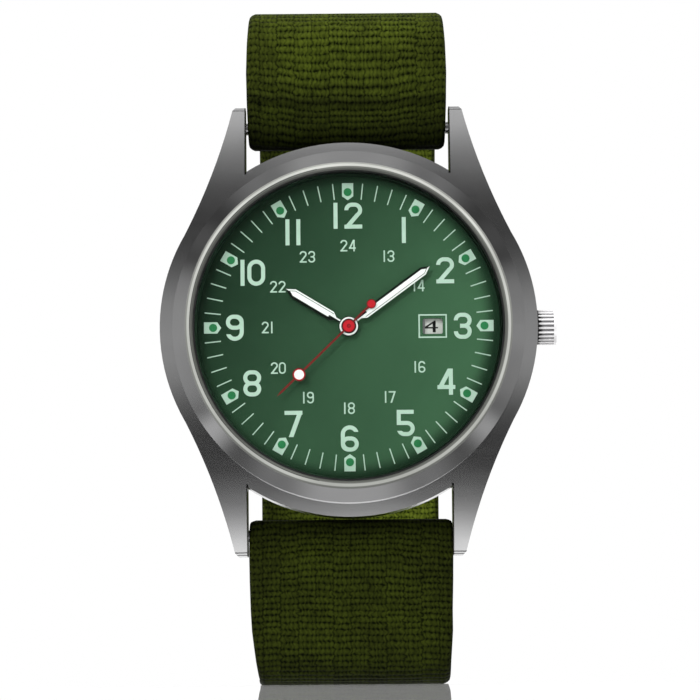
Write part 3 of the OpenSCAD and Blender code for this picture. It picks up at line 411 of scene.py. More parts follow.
def rim_steel():
    """Polished steel with painted reflections and painted shade: a dark edge at the crystal, a grey shoulder,
    a fine dark line on the left, a bright ring lighter at the top, a darker outermost edge.
    """
    material, tree, shader = new_finish("rim_steel")
    parts = object_parts(tree)
    # Painted light: the bright ring is lighter at the top.
    below = share_along(tree, parts["Z"], -30)
    side = share_along(tree, parts["X"], 33)
    raised = sums(tree, "SUBTRACT", away_from(tree, 0, 0.04), RIM_INNER_R)
    # Painted reflections: a grey shoulder inside a bright ring.
    rings = add(tree, "ShaderNodeMix", data_type="RGBA")
    rings.inputs["A"].default_value = (0.16, 0.165, 0.15, 1)
    tree.links.new(shades(tree, below, (0.6, 0.61, 0.57), (0.42, 0.43, 0.4), 0.1, 0.9), rings.inputs["B"])
    tree.links.new(shades(tree, raised, (0, 0, 0), (1, 1, 1), 0.72, 0.76), rings.inputs["Factor"])
    # Painted reflection: a fine dark line on the left only.
    line_at, line_half = 0.71, 0.045
    line = within(tree, raised, line_at - line_half, line_at + line_half)
    line = sums(tree, "MULTIPLY", line, sums(tree, "LESS_THAN", side, 0.4))
    # Painted shade at the edge by the crystal and on the outermost edge.
    across = sums(tree, "SUBTRACT", away_from(tree, 0, 0), RIM_INNER_R)
    outer_half = sums(tree, "SUBTRACT", across, 0.5)
    edge = tinted(tree, shades(tree, across, (0.15, 0.15, 0.15), (1, 1, 1), 0.26, 0.34),
                  shades(tree, outer_half, (1, 1, 1), (0.5, 0.5, 0.5), 0.48, 0.55), 1.0)
    uneven = shades(tree, grain(tree, (1, 1, 1), 140, 1.0), (0.85, 0.85, 0.85), (1.15, 1.15, 1.15))
    line_shade = shades(tree, line, (1, 1, 1), (0.4, 0.4, 0.4), 0.3, 0.7)
    tone = tinted(tree, tinted(tree, rings.outputs["Result"], line_shade, 1.0), edge, 1.0)
    tree.links.new(tinted(tree, tone, uneven, 1.0), shader.inputs["Base Color"])
    rough_between(tree, shader, grain(tree, (1, 1, 0.3), 900, 3.0), 0.16, 0.24)
    shader.inputs["Metallic"].default_value = 0.25
    return material


def clear_crystal():
    """Mineral glass that lets the lamps through to the dial, with a faint gleam."""
    material, tree, _ = new_finish("clear_crystal")
    clear = add(tree, "ShaderNodeBsdfTransparent")
    gleam = add(tree, "ShaderNodeFresnel", IOR=1.08)
    gloss = add(tree, "ShaderNodeBsdfGlossy", Roughness=0.02)
    mix = add(tree, "ShaderNodeMixShader")
    tree.links.new(shades(tree, grain(tree, (1, 1, 1), 60, 1.0), (0.975, 0.99, 0.98), (0.985, 0.995, 0.99)),
                   clear.inputs["Color"])
    tree.links.new(gleam.outputs["Fac"], mix.inputs["Fac"])
    tree.links.new(clear.outputs["BSDF"], mix.inputs[1])
    tree.links.new(gloss.outputs["BSDF"], mix.inputs[2])
    tree.links.new(mix.outputs["Shader"], tree.nodes["Material Output"].inputs["Surface"])
    return material


def webbing_finish(name, dark, light):
    """Nylon webbing: rows of nubs in loose groups of NUBS, with painted shade in the hollows and fine
    filaments.

    The piece's weave_uv counts groups of nubs across the band in u and rows along it in v; its shade
    attribute holds painted shade and painted light: darker at the folds, creases and edges, lighter
    elsewhere.
    """
    material, tree, shader = new_finish(name)
    weave_uv = add(tree, "ShaderNodeUVMap", uv_map="weave_uv")
    split = add(tree, "ShaderNodeSeparateXYZ")
    tree.links.new(weave_uv.outputs["UV"], split.inputs["Vector"])

    def uv_noise(across, along, detail=2.0):
        """Noise over the weave, so many waves to a group across and to a row along."""
        stretch = add(tree, "ShaderNodeMapping")
        stretch.inputs["Scale"].default_value = (across, along, 1)
        tree.links.new(weave_uv.outputs["UV"], stretch.inputs["Vector"])
        noise = add(tree, "ShaderNodeTexNoise", Scale=1.0, Detail=detail)
        tree.links.new(stretch.outputs["Vector"], noise.inputs["Vector"])
        return noise.outputs["Fac"]

    def chance(first, second):
        """A different value from 0 to 1 for each pair of whole numbers."""
        pair = add(tree, "ShaderNodeCombineXYZ")
        tree.links.new(first, pair.inputs["X"])
        tree.links.new(second, pair.inputs["Y"])
        dice = add(tree, "ShaderNodeTexWhiteNoise", noise_dimensions="2D")
        tree.links.new(pair.outputs["Vector"], dice.inputs["Vector"])
        return dice.outputs["Value"]

    def swing(value):
        """0 in the middle of each whole step and 1 at its ends."""
        from_middle = sums(tree, "ABSOLUTE", sums(tree, "SUBTRACT", sums(tree, "FRACT", value), 0.5))
        return sums(tree, "MULTIPLY", from_middle, 2.0)

    def spread(value, low, high):
        """A value from 0 to 1 spread between two others."""
        return sums(tree, "ADD", sums(tree, "MULTIPLY", value, high - low), low)

    stray = sums(tree, "SUBTRACT", uv_noise(2.0, 1.1), 0.5)
    u = sums(tree, "ADD", split.outputs["X"], sums(tree, "MULTIPLY", stray, 0.6))
    column = sums(tree, "FLOOR", u)
    own = spread(chance(column, column), -0.2, 0.2)
    v = sums(tree, "ADD", sums(tree, "ADD", split.outputs["Y"], own), sums(tree, "MULTIPLY", stray, 0.5))
    row = sums(tree, "FLOOR", v)
    nubs = sums(tree, "MULTIPLY", u, NUBS)
    nub_edge = sums(tree, "POWER", swing(nubs), 1.6)
    row_edge = sums(tree, "POWER", swing(v), 1.9)
    group_edge = sums(tree, "POWER", swing(u), 7.0)
    dips = sums(tree, "MULTIPLY", row_edge, sums(tree, "MULTIPLY", spread(nub_edge, 0.7, 1.15),
                                                 spread(chance(column, row), 0.6, 1.0)))
    gaps = sums(tree, "MULTIPLY", group_edge, spread(chance(row, column), 0.0, 0.6))
    low = sums(tree, "ADD", sums(tree, "MAXIMUM", dips, gaps), sums(tree, "MULTIPLY", nub_edge, 0.42))
    height = sums(tree, "SUBTRACT", 1.0, low)
    height = sums(tree, "MULTIPLY", height, spread(chance(sums(tree, "FLOOR", nubs), row), 0.72, 1.12))
    filament = uv_noise(30, 1.8, 3.0)
    # Painted shade: the hollows between the nubs are far darker than their tops.
    tone = shades(tree, height, dark, light, 0.0, 0.95)
    tone = tinted(tree, tone, shades(tree, filament, (0.5, 0.5, 0.5), (1.35, 1.35, 1.3)), 0.5)
    tone = tinted(tree, tone, shades(tree, uv_noise(0.3, 0.2), (0.78, 0.76, 0.85), (1.15, 1.17, 1.05)), 0.8)
    # Painted shade and painted light carried by the shade attribute.
    shade = add(tree, "ShaderNodeAttribute", attribute_name="shade")
    tone = tinted(tree, tone, shade.outputs["Color"], 1.0)
    tree.links.new(tone, shader.inputs["Base Color"])
    rough_between(tree, shader, filament, 0.6, 0.85)
    whole = sums(tree, "ADD", height, sums(tree, "MULTIPLY", filament, 0.15))
    relief(tree, shader, whole, 0.35, NUB_RELIEF)
    shader.inputs["Specular IOR Level"].default_value = 0.05
    return material


def dress(finish, *names):
    """Gives CAD nodes a finish."""
    for name in names:
        mesh = nodes[name].data
        mesh.materials.clear()
        mesh.materials.append(finish)


satin = brushed_metal("satin_steel", (0.58, 0.58, 0.585), (0.66, 0.66, 0.66), 0.18, 0.22, (0.15, 1, 1), 0.008)
steel = brushed_metal("brushed_steel", (0.55, 0.55, 0.56), (0.6, 0.6, 0.6), 0.26, 0.36, (0.12, 1, 1), 0.08)
brass = brushed_metal("gilt_brass", (0.62, 0.44, 0.17), (0.74, 0.56, 0.26), 0.25, 0.4, (1, 0.2, 1))
copper = brushed_metal("copper_wire", (0.5, 0.2, 0.07), (0.62, 0.28, 0.1), 0.3, 0.42, (8, 1, 1))
magnet = brushed_metal("magnet", (0.1, 0.1, 0.11), (0.14, 0.14, 0.15), 0.4, 0.5, (1, 1, 1))
mint = painted("mint_print", (0.44, 0.62, 0.5), (0.51, 0.69, 0.57), 0.5, 0.65)
plot_green = painted("plot_green", (0.01, 0.17, 0.05), (0.02, 0.23, 0.075), 0.5, 0.65)
white_lume = painted("white_lume", (0.9, 0.93, 0.9), (0.95, 0.98, 0.95), 0.55, 0.7)
red = ringed_red()
black_rubber = painted("black_rubber", (0.01, 0.01, 0.01), (0.02, 0.02, 0.02), 0.5, 0.65)
white_plastic = painted("white_plastic", (0.7, 0.7, 0.67), (0.78, 0.78, 0.75), 0.4, 0.5)
board_green = painted("board_green", (0.012, 0.1, 0.04), (0.02, 0.14, 0.06), 0.35, 0.45)
date_grey = painted("date_grey", (0.62, 0.62, 0.59), (0.72, 0.72, 0.69), 0.45, 0.55)
date_black = painted("date_black", (0.004, 0.004, 0.004), (0.009, 0.009, 0.009), 0.5, 0.6)
olive = webbing_finish("olive_nylon", (0.003, 0.0055, 0.0001), (0.046, 0.061, 0.006))
thread = painted("olive_thread", (0.02, 0.028, 0.005), (0.05, 0.068, 0.014), 0.6, 0.8, size=2500)

dress(satin, "bezel")
dress(case_steel(satin), "case_middle")
dress(rim_steel(), "rim")
dress(crown_steel(), "crown")
dress(hand_finish("silvered_hour", (0.8, 0.83, 0.8), (0.9, 0.93, 0.9), *HOUR), "hour_hand")
dress(hand_finish("silvered_minute", (0.8, 0.83, 0.8), (0.9, 0.93, 0.9), *MINUTE), "minute_hand")
dress(hand_finish("hour_lume_white", (0.9, 0.93, 0.9), (0.95, 0.98, 0.95), *HOUR), "hour_lume")
dress(hand_finish("minute_lume_white", (0.9, 0.93, 0.9), (0.95, 0.98, 0.95), *MINUTE), "minute_lume")
dress(clear_crystal(), "crystal")
dress(black_rubber, "crystal_gasket", "back_gasket", "crown_gasket")
dress(dial_wall(), "rehaut_ring")
dress(dial_lacquer(), "dial")
dress(mint, "hour_plots", "hour_numerals", "inner_numerals", "fine_print")
dress(plot_green, "plot_dots")
dress(white_lume, "second_dot")
dress(red, "second_hand")
dress(date_grey, "date_ring")
dress(white_plastic, "movement_ring")
dress(board_green, "circuit_board")
dress(copper, "coil")
dress(magnet, "rotor")
dress(brass, "main_plate", "train_bridge", "intermediate_wheel", "second_wheel", "third_wheel",
      "centre_wheel", "cannon_pinion", "minute_wheel", "hour_wheel", "date_wheel")
dress(steel, "case_back", "crown_tube", "movement_screws", "quartz_can", "stator", "battery",
      "battery_clamp", "calendar_plate", "date_jumper", "setting_pinion", "setting_lever", "stem",
      "bar_tubes", "buckle_bar", "buckle_frame", "buckle_tongue",
      "upper_pin_right", "upper_pin_left", "lower_pin_right", "lower_pin_left")


# Webbing: a band's middle line is a run of straight stretches and bends, in millimetres

def straight(start, end):
    """A straight stretch from one place to another."""
    start, end = np.array(start, float), np.array(end, float)
    length = np.linalg.norm(end - start)
    heading = (end - start) / length
    return length, lambda s: (start + heading * s[:, None], np.tile(heading, (len(s), 1)))


def bend(centre, radius, start, end):
    """A bend round a centre, from one angle to another in degrees."""
    sign = 1 if end > start else -1
    length = math.radians(abs(end - start)) * radius

    def follow(s):
        """Places and headings at the lengths s along the bend."""
        turn = math.radians(start) + sign * s / radius
        ray = np.stack([np.cos(turn), np.sin(turn)], 1)
        heading = sign * np.stack([-np.sin(turn), np.cos(turn)], 1)
        return np.array(centre) + radius * ray, heading
    return length, follow


def follow_route(route, s):
    """Places and headings along a route at the lengths s."""
    places, headings = np.zeros((len(s), 2)), np.zeros((len(s), 2))
    start = 0
    for index, (length, follow) in enumerate(route):
        last = index == len(route) - 1
        here = (s >= start) & ((s < start + length) | last)
        if here.any():
            places[here], headings[here] = follow(s[here] - start)
        start += length
    return places, headings


def case_end(reach, fold=FOLD_MID):
    """The flap, the fold round the spring bar, and the front bend."""
    bend_z = reach - FRONT_BEND_IN
    return [
        straight((FLAP_MID, bend_z), (FLAP_MID, BAR_REACH + FLAP_SLOPE)),
        straight((FLAP_MID, BAR_REACH + FLAP_SLOPE), (BAR_Y + fold, BAR_REACH)),
        bend((BAR_Y, BAR_REACH), fold, 0, -180),
        straight((BAR_Y - fold, BAR_REACH), (FRONT_MID, BAR_REACH + FRONT_SLOPE)),
        straight((FRONT_MID, BAR_REACH + FRONT_SLOPE), (FRONT_MID, bend_z)),
        bend((FRONT_BEND_Y, bend_z), FRONT_BEND_R, 180, 90),
    ]


def upper_route():
    """The upper half: over the top, down the rear and once round the buckle's bar."""
    rear_y, rear_z = MAIN_MID - REAR_BEND_R, TOP_REACH - REAR_BEND_IN
    return case_end(TOP_REACH) + [
        straight((FRONT_BEND_Y, TOP_REACH - WEB / 2), (rear_y, TOP_REACH - WEB / 2)),
        bend((rear_y, rear_z), REAR_BEND_R, 90, 0),
        straight((MAIN_MID, rear_z), (MAIN_MID, 4)),
        straight((MAIN_MID, 4), (BUCKLE_Y - FOLD_MID, 0)),
        bend((BUCKLE_Y, 0), FOLD_MID, 180, 360),
        straight((BUCKLE_Y + FOLD_MID, 0), (BUCKLE_Y + FOLD_MID, 12)),
    ]


def lower_route():
    """The lower half, drawn upside down: up the rear, through the buckle and on as the tail."""
    under_y, under_z = UNDER_MID - REAR_BEND_R, FOOT_REACH - REAR_BEND_IN
    rear_y, rear_z = MAIN_MID - REAR_BEND_R, TOP_REACH - REAR_BEND_IN
    return case_end(FOOT_REACH, LOW_FOLD_MID) + [
        straight((FRONT_BEND_Y, FOOT_REACH - WEB / 2), (under_y, FOOT_REACH - WEB / 2)),
        bend((under_y, under_z), REAR_BEND_R, 90, 0),
        straight((UNDER_MID, under_z), (UNDER_MID, SWING_START)),
        bend((UNDER_MID + SWING_R, SWING_START), SWING_R, 180, 180 + SWING_ANGLE),
        bend((TAIL_MID - SWING_R, 0), SWING_R, SWING_ANGLE, 0),
        straight((TAIL_MID, 0), (TAIL_MID, -rear_z)),
        bend((rear_y, -rear_z), TAIL_MID - rear_y, 0, -TAIL_SWEEP),
    ]


def route_length(route):
    """Length of all the stretches and bends of a route."""
    return sum(length for length, _ in route)


def smooth(low, high, value):
    """An eased step from 0 at low to 1 at high."""
    t = np.clip((value - low) / (high - low), 0, 1)
    return t * t * (3 - 2 * t)


def stray_rows(x, s):
    """How far the woven rows wander, in rows."""
    return 0.07 * np.sin(0.9 * x + 1.3 * np.sin(0.31 * s)) + 0.06 * np.sin(0.37 * x + 0.8 * s)


def lengths_along(route, dense, row):
    """Lengths of the rows of points: five to a row of nubs where dense, three to two rows elsewhere."""
    length = route_length(route)
    steps = [0.0]
    while steps[-1] < length - 0.2:
        near = dense[0] <= steps[-1] <= dense[1]
        steps.append(steps[-1] + (row / 5 if near else row / 1.5))
    steps[-1] = length
    return np.array(steps)


def weave_band(name, route, shape, row, dense=(0, 0), web=WEB, outer=145):
    """A webbing band along a route: ribs on its outer side, smaller ones inside, rounded edges.

    row is the length of a row of nubs, dense the lengths between which points are close together, and
    outer the number of points across the outer side.

    shape(share, s, places) gives for each point half the width, the middle, a shift towards the
    inner side, a shift of the rows, a share of the thickness, and a painted shade; share runs from -1 to 1
    across the band.
    """
    rows = lengths_along(route, dense, row)
    count = len(rows)
    edge, inner = 5, 37
    ring = outer + inner + 2 * edge
    bpy.ops.object.select_all(action="DESELECT")
    bpy.ops.mesh.primitive_grid_add(x_subdivisions=ring, y_subdivisions=count - 1, size=2)
    band = bpy.context.object
    band.name = name
    mesh = band.data
    total = len(mesh.vertices)
    flat = np.empty(total * 3)
    mesh.vertices.foreach_get("co", flat)
    flat = flat.reshape(-1, 3)
    around = np.rint((flat[:, 0] + 1) / 2 * ring).astype(int) % ring
    s = rows[np.rint((flat[:, 1] + 1) / 2 * (count - 1)).astype(int)]
    places, headings = follow_route(route, s)
    left = np.stack([-headings[:, 1], headings[:, 0]], 1)

    share, h, bulge_side = np.zeros(total), np.zeros(total), np.zeros(total)
    here = around < outer
    share[here] = around[here] / (outer - 1) * 2 - 1
    h[here] = 1
    here = (around >= outer) & (around < outer + edge)
    step = (around[here] - outer + 1) / (edge + 1) * math.pi
    share[here], bulge_side[here], h[here] = 1, np.sin(step), np.cos(step)
    here = (around >= outer + edge) & (around < outer + edge + inner)
    share[here] = 1 - 2 * (around[here] - outer - edge) / (inner - 1)
    h[here] = -1
    here = around >= outer + edge + inner
    step = (around[here] - outer - edge - inner + 1) / (edge + 1) * math.pi
    share[here], bulge_side[here], h[here] = -1, -np.sin(step), -np.cos(step)

    half, middle, lift, row_shift, thickness, shade = shape(share, s, places)
    corner = web / 2 * 0.95
    x = middle + share * (half - corner) + bulge_side * corner
    v = (s + row_shift) / row + stray_rows(x, s)
    ribs = 0.5 - 0.5 * np.cos(2 * math.pi * v)
    top = web / 2 - RIB_H
    height = np.where(h > 0.99, top + RIB_H * ribs, np.where(h < -0.99, -top - RIB_H * ribs * 0.6, h * top))
    plane = places + left * (height * thickness + lift)[:, None]
    # Painted light: far from the case the strap's inner side is lighter, above all on the crown's side.
    far_inside_light = smooth(12, 30, places[:, 0]) * (h < -0.99)
    return band, mesh, plane, x, v, shade * (1 + far_inside_light * (1.3 + 1.6 * share))


def finish_band(mesh, points, x, v, shade, closed=False):
    """Sets the active band's points, weave_uv, shade and finish, and closes its ends."""
    mesh.vertices.foreach_set("co", (points * MM).ravel())
    uv = mesh.uv_layers.new(name="weave_uv")
    loop_vertices = np.empty(len(mesh.loops), int)
    mesh.loops.foreach_get("vertex_index", loop_vertices)
    uv.data.foreach_set("uv", np.stack([x / GROUP + UV_START, v + UV_START], 1)[loop_vertices].ravel())
    tint = mesh.color_attributes.new("shade", "FLOAT_COLOR", "POINT")
    tint.data.foreach_set("color", np.stack([shade, shade, shade, np.ones_like(shade)], 1).ravel())
    bpy.ops.object.mode_set(mode="EDIT")
    bpy.ops.mesh.select_all(action="SELECT")
    bpy.ops.mesh.remove_doubles(threshold=1e-7)
    if not closed:
        bpy.ops.mesh.select_all(action="DESELECT")
        bpy.ops.mesh.select_non_manifold(extend=False, use_wire=False, use_boundary=True,
                                         use_multi_face=False, use_non_contiguous=False, use_verts=False)
        bpy.ops.mesh.edge_face_add()
    bpy.ops.mesh.select_all(action="SELECT")
    bpy.ops.mesh.normals_make_consistent(inside=False)
    bpy.ops.object.mode_set(mode="OBJECT")
    bpy.ops.object.shade_smooth()
    mesh.materials.append(olive)


def flap_length(reach, fold):
    """Length of the sewn flap up to where the fold begins."""
    straight_part = reach - FRONT_BEND_IN - BAR_REACH - FLAP_SLOPE
    return straight_part + math.hypot(FLAP_SLOPE, FLAP_MID - BAR_Y - fold)


def upper_shape(share, s, places):
    """The upper half: its width, its bulge over the spring bar, its sagging rows, and painted shade at its
    fold, in its creases and along its edges, lighter towards the top.
    """
    y, z = places[:, 0], places[:, 1]
    front = smooth(3.5, 0.5, y)
    outer_run = s > flap_length(TOP_REACH, FOLD_MID) + math.pi * FOLD_MID / 2
    half_in_front = np.interp(z, [18, 20, 22.5, 26, 29, 32.7], [9.8, 9.9, 10.0, 10.08, 9.98, 9.75])
    half = HALF_WEB + front * (half_in_front - HALF_WEB)
    swell = front * outer_run * np.exp(-((z - 26) / 3.2) ** 2)
    crease = front * outer_run * np.exp(-((z - 23.4 + 0.55 * (1 - share ** 2)) / 0.5) ** 2)
    second = front * outer_run * np.exp(-((z - 24.9 + 0.4 * (1 - share ** 2)) / 0.35) ** 2)
    second = second * (1 - 0.5 * share ** 2)
    lift = 0.5 * swell * (1 - 0.35 * share ** 2) - 0.28 * crease - 0.16 * second
    near = front * outer_run * np.exp(-((z - 22.5) / 3.4) ** 2)
    # Painted shade and light: darker at the fold, in the creases and along the edges, lighter towards the
    # top.
    shade = np.interp(z, [18.3, 20, 21.5, 23.5, 25.5, 30], [0.22, 0.3, 0.5, 0.75, 1.0, 1.12])
    shade = (1 + front * (shade - 1)) * (1 - 0.45 * crease) * (1 - 0.3 * second)
    shade = shade * (1 - 0.2 * np.abs(share) ** 6)
    return half, -0.05 * front, -lift, 1.1 * near * (1 - share ** 2), 1, shade


def lower_shape(share, s, places):
    """The lower half: its width, its bulge, its gently bowed rows, its thin fold, and painted shade over its
    front, darkest at the fold and the foot.
    """
    y, z = places[:, 0], places[:, 1]
    front = smooth(30, 2, y)
    outer_run = s > flap_length(FOOT_REACH, LOW_FOLD_MID) + math.pi * LOW_FOLD_MID / 2
    half_in_front = np.interp(z, [18, 20, 22, 25, 30, 35.3], [10.0, 10.12, 10.15, 10.12, 9.98, 9.5])
    half = HALF_WEB + front * (half_in_front - HALF_WEB)
    swell = front * outer_run * np.exp(-((z - 27) / 4) ** 2)
    crease = front * outer_run * np.exp(-((z - 22.6 - 0.3 * share ** 2) / 0.5) ** 2)
    near = front * outer_run * np.exp(-((z - 22) / 3.2) ** 2)
    lift = 0.45 * swell * (1 - 0.35 * share ** 2) - 0.18 * crease
    thin = 1 - 0.42 * smooth(24, 21.5, z) * smooth(3, 0, y)
    # Painted shade over the front, darkest at the fold and towards the foot, and along the edges.
    shade = np.interp(z, [18.9, 20, 21.2, 22.5, 31.5, 34, 35.3], [0.3, 0.36, 0.52, 0.66, 0.66, 0.56, 0.5])
    shade = 1 + front * (shade - 1)
    middle = front * np.interp(z, [20, 28, 33, 35.3], [0.05, 0.05, 0.2, 0.35])
    shade = shade * (1 - 0.25 * np.abs(share) ** 6)
    return half, middle, -lift, 0.5 * near * (1 - share ** 2), thin, shade


def make_half(name, route, shape, sign, fold, node):
    """One half of the strap; sign is -1 for the lower half, whose route is drawn upside down."""
    start = flap_length(TOP_REACH if sign > 0 else FOOT_REACH, fold)
    # Points are close together on the fold, the front and the front bend.
    dense = (start + 1.5, start + math.pi * fold + 18)
    row = UPPER_ROW if sign > 0 else LOWER_ROW
    band, mesh, plane, x, v, shade = weave_band(name, route, shape, row, dense)
    points = np.stack([x, plane[:, 0], sign * plane[:, 1]], 1)
    finish_band(mesh, points, x, v, shade)
    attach(band, "watch")
    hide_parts(node)
    return band


def cut_holes(band, route, sign, lengths):
    """Punched holes through a band, at lengths along its route."""
    places, headings = follow_route(route, np.array(lengths))
    bpy.ops.object.select_all(action="DESELECT")
    punches = []
    for place, heading in zip(places, headings):
        through = Vector((0, -heading[1], sign * heading[0]))
        bpy.ops.mesh.primitive_cylinder_add(vertices=40, radius=HOLE_R * MM, depth=2.4 * WEB * MM,
                                            location=Vector((0, place[0], sign * place[1])) * MM,
                                            rotation=through.to_track_quat("Z", "Y").to_euler())
        punches.append(bpy.context.object)
    for punch in punches:
        punch.select_set(True)
    bpy.ops.object.join()
    punch = bpy.context.object
    cut = band.modifiers.new("holes", "BOOLEAN")
    cut.object = punch
    cut.operation = "DIFFERENCE"
    cut.solver = "EXACT"
    bpy.ops.object.select_all(action="DESELECT")
    bpy.context.view_layer.objects.active = band
    band.select_set(True)
    bpy.ops.object.modifier_apply(modifier=cut.name)
    bpy.data.objects.remove(punch)


make_half("upper_webbing", upper_route(), upper_shape, 1, FOLD_MID, "upper_strap")
lower_half = make_half("lower_webbing", lower_route(), lower_shape, -1, LOW_FOLD_MID, "lower_strap")
buckled_hole = route_length(lower_route()[:-3])
cut_holes(lower_half, lower_route(), -1, [buckled_hole + HOLE_PITCH * k for k in CUT_HOLES])


STITCHES = 12
STITCH_PITCH = 1.5
FIRST_STITCH = -8.25
STITCH_RISE = 0.06
STITCH_SIZE = (1.15, 0.34, 0.34)
STITCH_TILT = 8


def make_stitches(name, y, z):
    """A sewn seam across the strap: one stitch modelled, and copied in a row."""
    bpy.ops.object.select_all(action="DESELECT")
    bpy.ops.mesh.primitive_uv_sphere_add(segments=10, ring_count=6, radius=0.5)
    stitch = bpy.context.object
    bpy.ops.object.mode_set(mode="EDIT")
    bpy.ops.mesh.select_all(action="SELECT")
    bpy.ops.transform.resize(value=Vector(STITCH_SIZE) * MM, center_override=(0, 0, 0))
    bpy.ops.transform.rotate(value=math.radians(STITCH_TILT), orient_axis="Y", center_override=(0, 0, 0))
    bpy.ops.object.mode_set(mode="OBJECT")
    row = [stitch]
    for _ in range(1, STITCHES):
        copy = bpy.data.objects.new(name, stitch.data.copy())
        bpy.context.scene.collection.objects.link(copy)
        row.append(copy)
    for step, piece in enumerate(row):
        place = Vector((FIRST_STITCH + STITCH_PITCH * step, y + STITCH_RISE, z))
        piece.data.transform(Matrix.Translation(place * MM))
        piece.select_set(True)
    bpy.context.view_layer.objects.active = stitch
    bpy.ops.object.join()
    seam = bpy.context.object
    seam.name = name
    bpy.ops.object.shade_smooth()
    seam.data.materials.append(thread)
    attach(seam, "watch")


make_stitches("seam_at_buckle", BUCKLE_Y + FOLD_MID + WEB / 2, 3.4)
make_stitches("seam_at_upper_bar", FLAP_MID + WEB / 2, BAR_REACH + 5)
make_stitches("seam_at_lower_bar", FLAP_MID + WEB / 2, -BAR_REACH - 5)


# Keepers: short bands once round the strap

KEEPER_T = 0.9
KEEPER_WIDE = 4
KEEPER_HALF = 10.15


def keeper_route(inner_y, outer_y):
    """Once round the strap, over X and Y, with rounded corners."""
    corner = 1.1
    half = KEEPER_HALF + KEEPER_T / 2
    low, high = inner_y - KEEPER_T / 2, outer_y + KEEPER_T / 2
    return [
        straight((0, low), (half - corner, low)),
        bend((half - corner, low + corner), corner, -90, 0),
        straight((half, low + corner), (half, high - corner)),
        bend((half - corner, high - corner), corner, 0, 90),
        straight((half - corner, high), (corner - half, high)),
        bend((corner - half, high - corner), corner, 90, 180),
        straight((-half, high - corner), (-half, low + corner)),
        bend((corner - half, low + corner), corner, 180, 270),
        straight((corner - half, low), (0, low)),
    ]


def make_keeper(name, body, node, start_z, inner_y, outer_y):
    """A loop of webbing round the strap, drawn with its outer side out."""
    route = keeper_route(inner_y, outer_y)

    def shape(share, s, places):
        """The same width all round; the negative thickness puts the ribs on the outside."""
        return KEEPER_WIDE / 2, 0, 0, 0, -1, 0.9

    band, mesh, plane, x, v, shade = weave_band(name, route, shape, KEEPER_ROW, web=KEEPER_T, outer=37)
    points = np.stack([plane[:, 0], plane[:, 1], start_z + KEEPER_WIDE / 2 + x], 1)
    finish_band(mesh, points, x, v, shade, closed=True)
    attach(band, body)
    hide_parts(node)


make_keeper("fixed_keeper_loop", "watch", "fixed_keeper", 5, 46.95, 51.2)
make_keeper("free_keeper_loop", "free_keeper", "free_keeper", 10.5, 46.85, 51.15)


# Date figures: a number for each day on the date ring, with the shown day upright in the window

DAYS = 31
SHOWN_DAY = 4
DATE_R = 8.17
DATE_Y = -6.16
DATE_DROP = 0.05
DATE_SIZE = 1.7
ONE_DIGIT_WIDE = 1.85
TWO_DIGITS_WIDE = 0.95


def make_dates():
    """Flat figures, each turned to stand upright when its day comes to the window."""
    figures = []
    for day in range(1, DAYS + 1):
        bpy.ops.object.select_all(action="DESELECT")
        bpy.ops.object.text_add(location=(0, 0, 0))
        number = bpy.context.object
        number.data.body = str(day)
        number.data.align_x, number.data.align_y = "CENTER", "CENTER"
        number.data.size = DATE_SIZE * MM
        number.data.resolution_u = 3
        number.data.space_character = 0.9
        number.data.extrude = 0.01 * MM
        number.data.offset = -0.003 * MM
        bpy.ops.object.convert(target="MESH")
        number = bpy.context.object
        wide = ONE_DIGIT_WIDE if day < 10 else TWO_DIGITS_WIDE
        turn = math.radians((SHOWN_DAY - day) * 360 / DAYS)
        place = Matrix.Rotation(turn, 4, "Y") @ Matrix.Translation(Vector((DATE_R, 0, -DATE_DROP)) * MM)
        upright = Matrix.Rotation(math.radians(90), 4, "X") @ Matrix.Diagonal((wide, 1, 1, 1))
        number.data.transform(Matrix.Translation((0, DATE_Y * MM, 0)) @ place @ upright)
        number.matrix_world = Matrix.Identity(4)
        figures.append(number)
    bpy.ops.object.select_all(action="DESELECT")
    for number in figures:
        number.select_set(True)
    bpy.context.view_layer.objects.active = figures[0]
    bpy.ops.object.join()
    dates = bpy.context.object
    dates.name = "date_figures"
    dates.data.materials.clear()
    dates.data.materials.append(date_black)
    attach(dates, "date_ring")


make_dates()


# Camera, lamps, floor and background

CAMERA_PLACE = (0, -0.39156, -0.03801)
CAMERA_TARGET = (0.0001, -0.003, -0.00196)
CAMERA_ROLL = -0.5
CAMERA_LENS = 200.5
PLAIN_LEVEL = 0.8
FLOOR_SIZE = 6
FLOOR_FALL = 2.2
FLOOR_MATT = 0.15
FLOOR_GLOSS = 0.84


def aim_camera():
    """The photograph's view, from slightly below the watch."""
    camera_data = bpy.data.cameras.new("camera")
    camera = bpy.data.objects.new("camera", camera_data)
    bpy.context.scene.collection.objects.link(camera)
    camera.location = CAMERA_PLACE
    camera.rotation_euler = (Vector(CAMERA_TARGET) - camera.location).to_track_quat("-Z", "Y").to_euler()
    camera.rotation_euler.rotate_axis("Z", math.radians(CAMERA_ROLL))
    camera_data.sensor_width = 36
    camera_data.lens = CAMERA_LENS
    camera_data.clip_start = 0.01
    bpy.context.scene.camera = camera


def add_lamp(name, place, size, power):
    """A soft lamp that points at the watch and that metal doesn't mirror."""
    light = bpy.data.lights.new(name, "AREA")
    light.shape = "RECTANGLE"
    light.size, light.size_y = size
    light.energy = power
    lamp = bpy.data.objects.new(name, light)
    bpy.context.scene.collection.objects.link(lamp)
    lamp.location = place
    lamp.rotation_euler = (-Vector(place)).to_track_quat("-Z", "Y").to_euler()
    lamp.visible_glossy = False


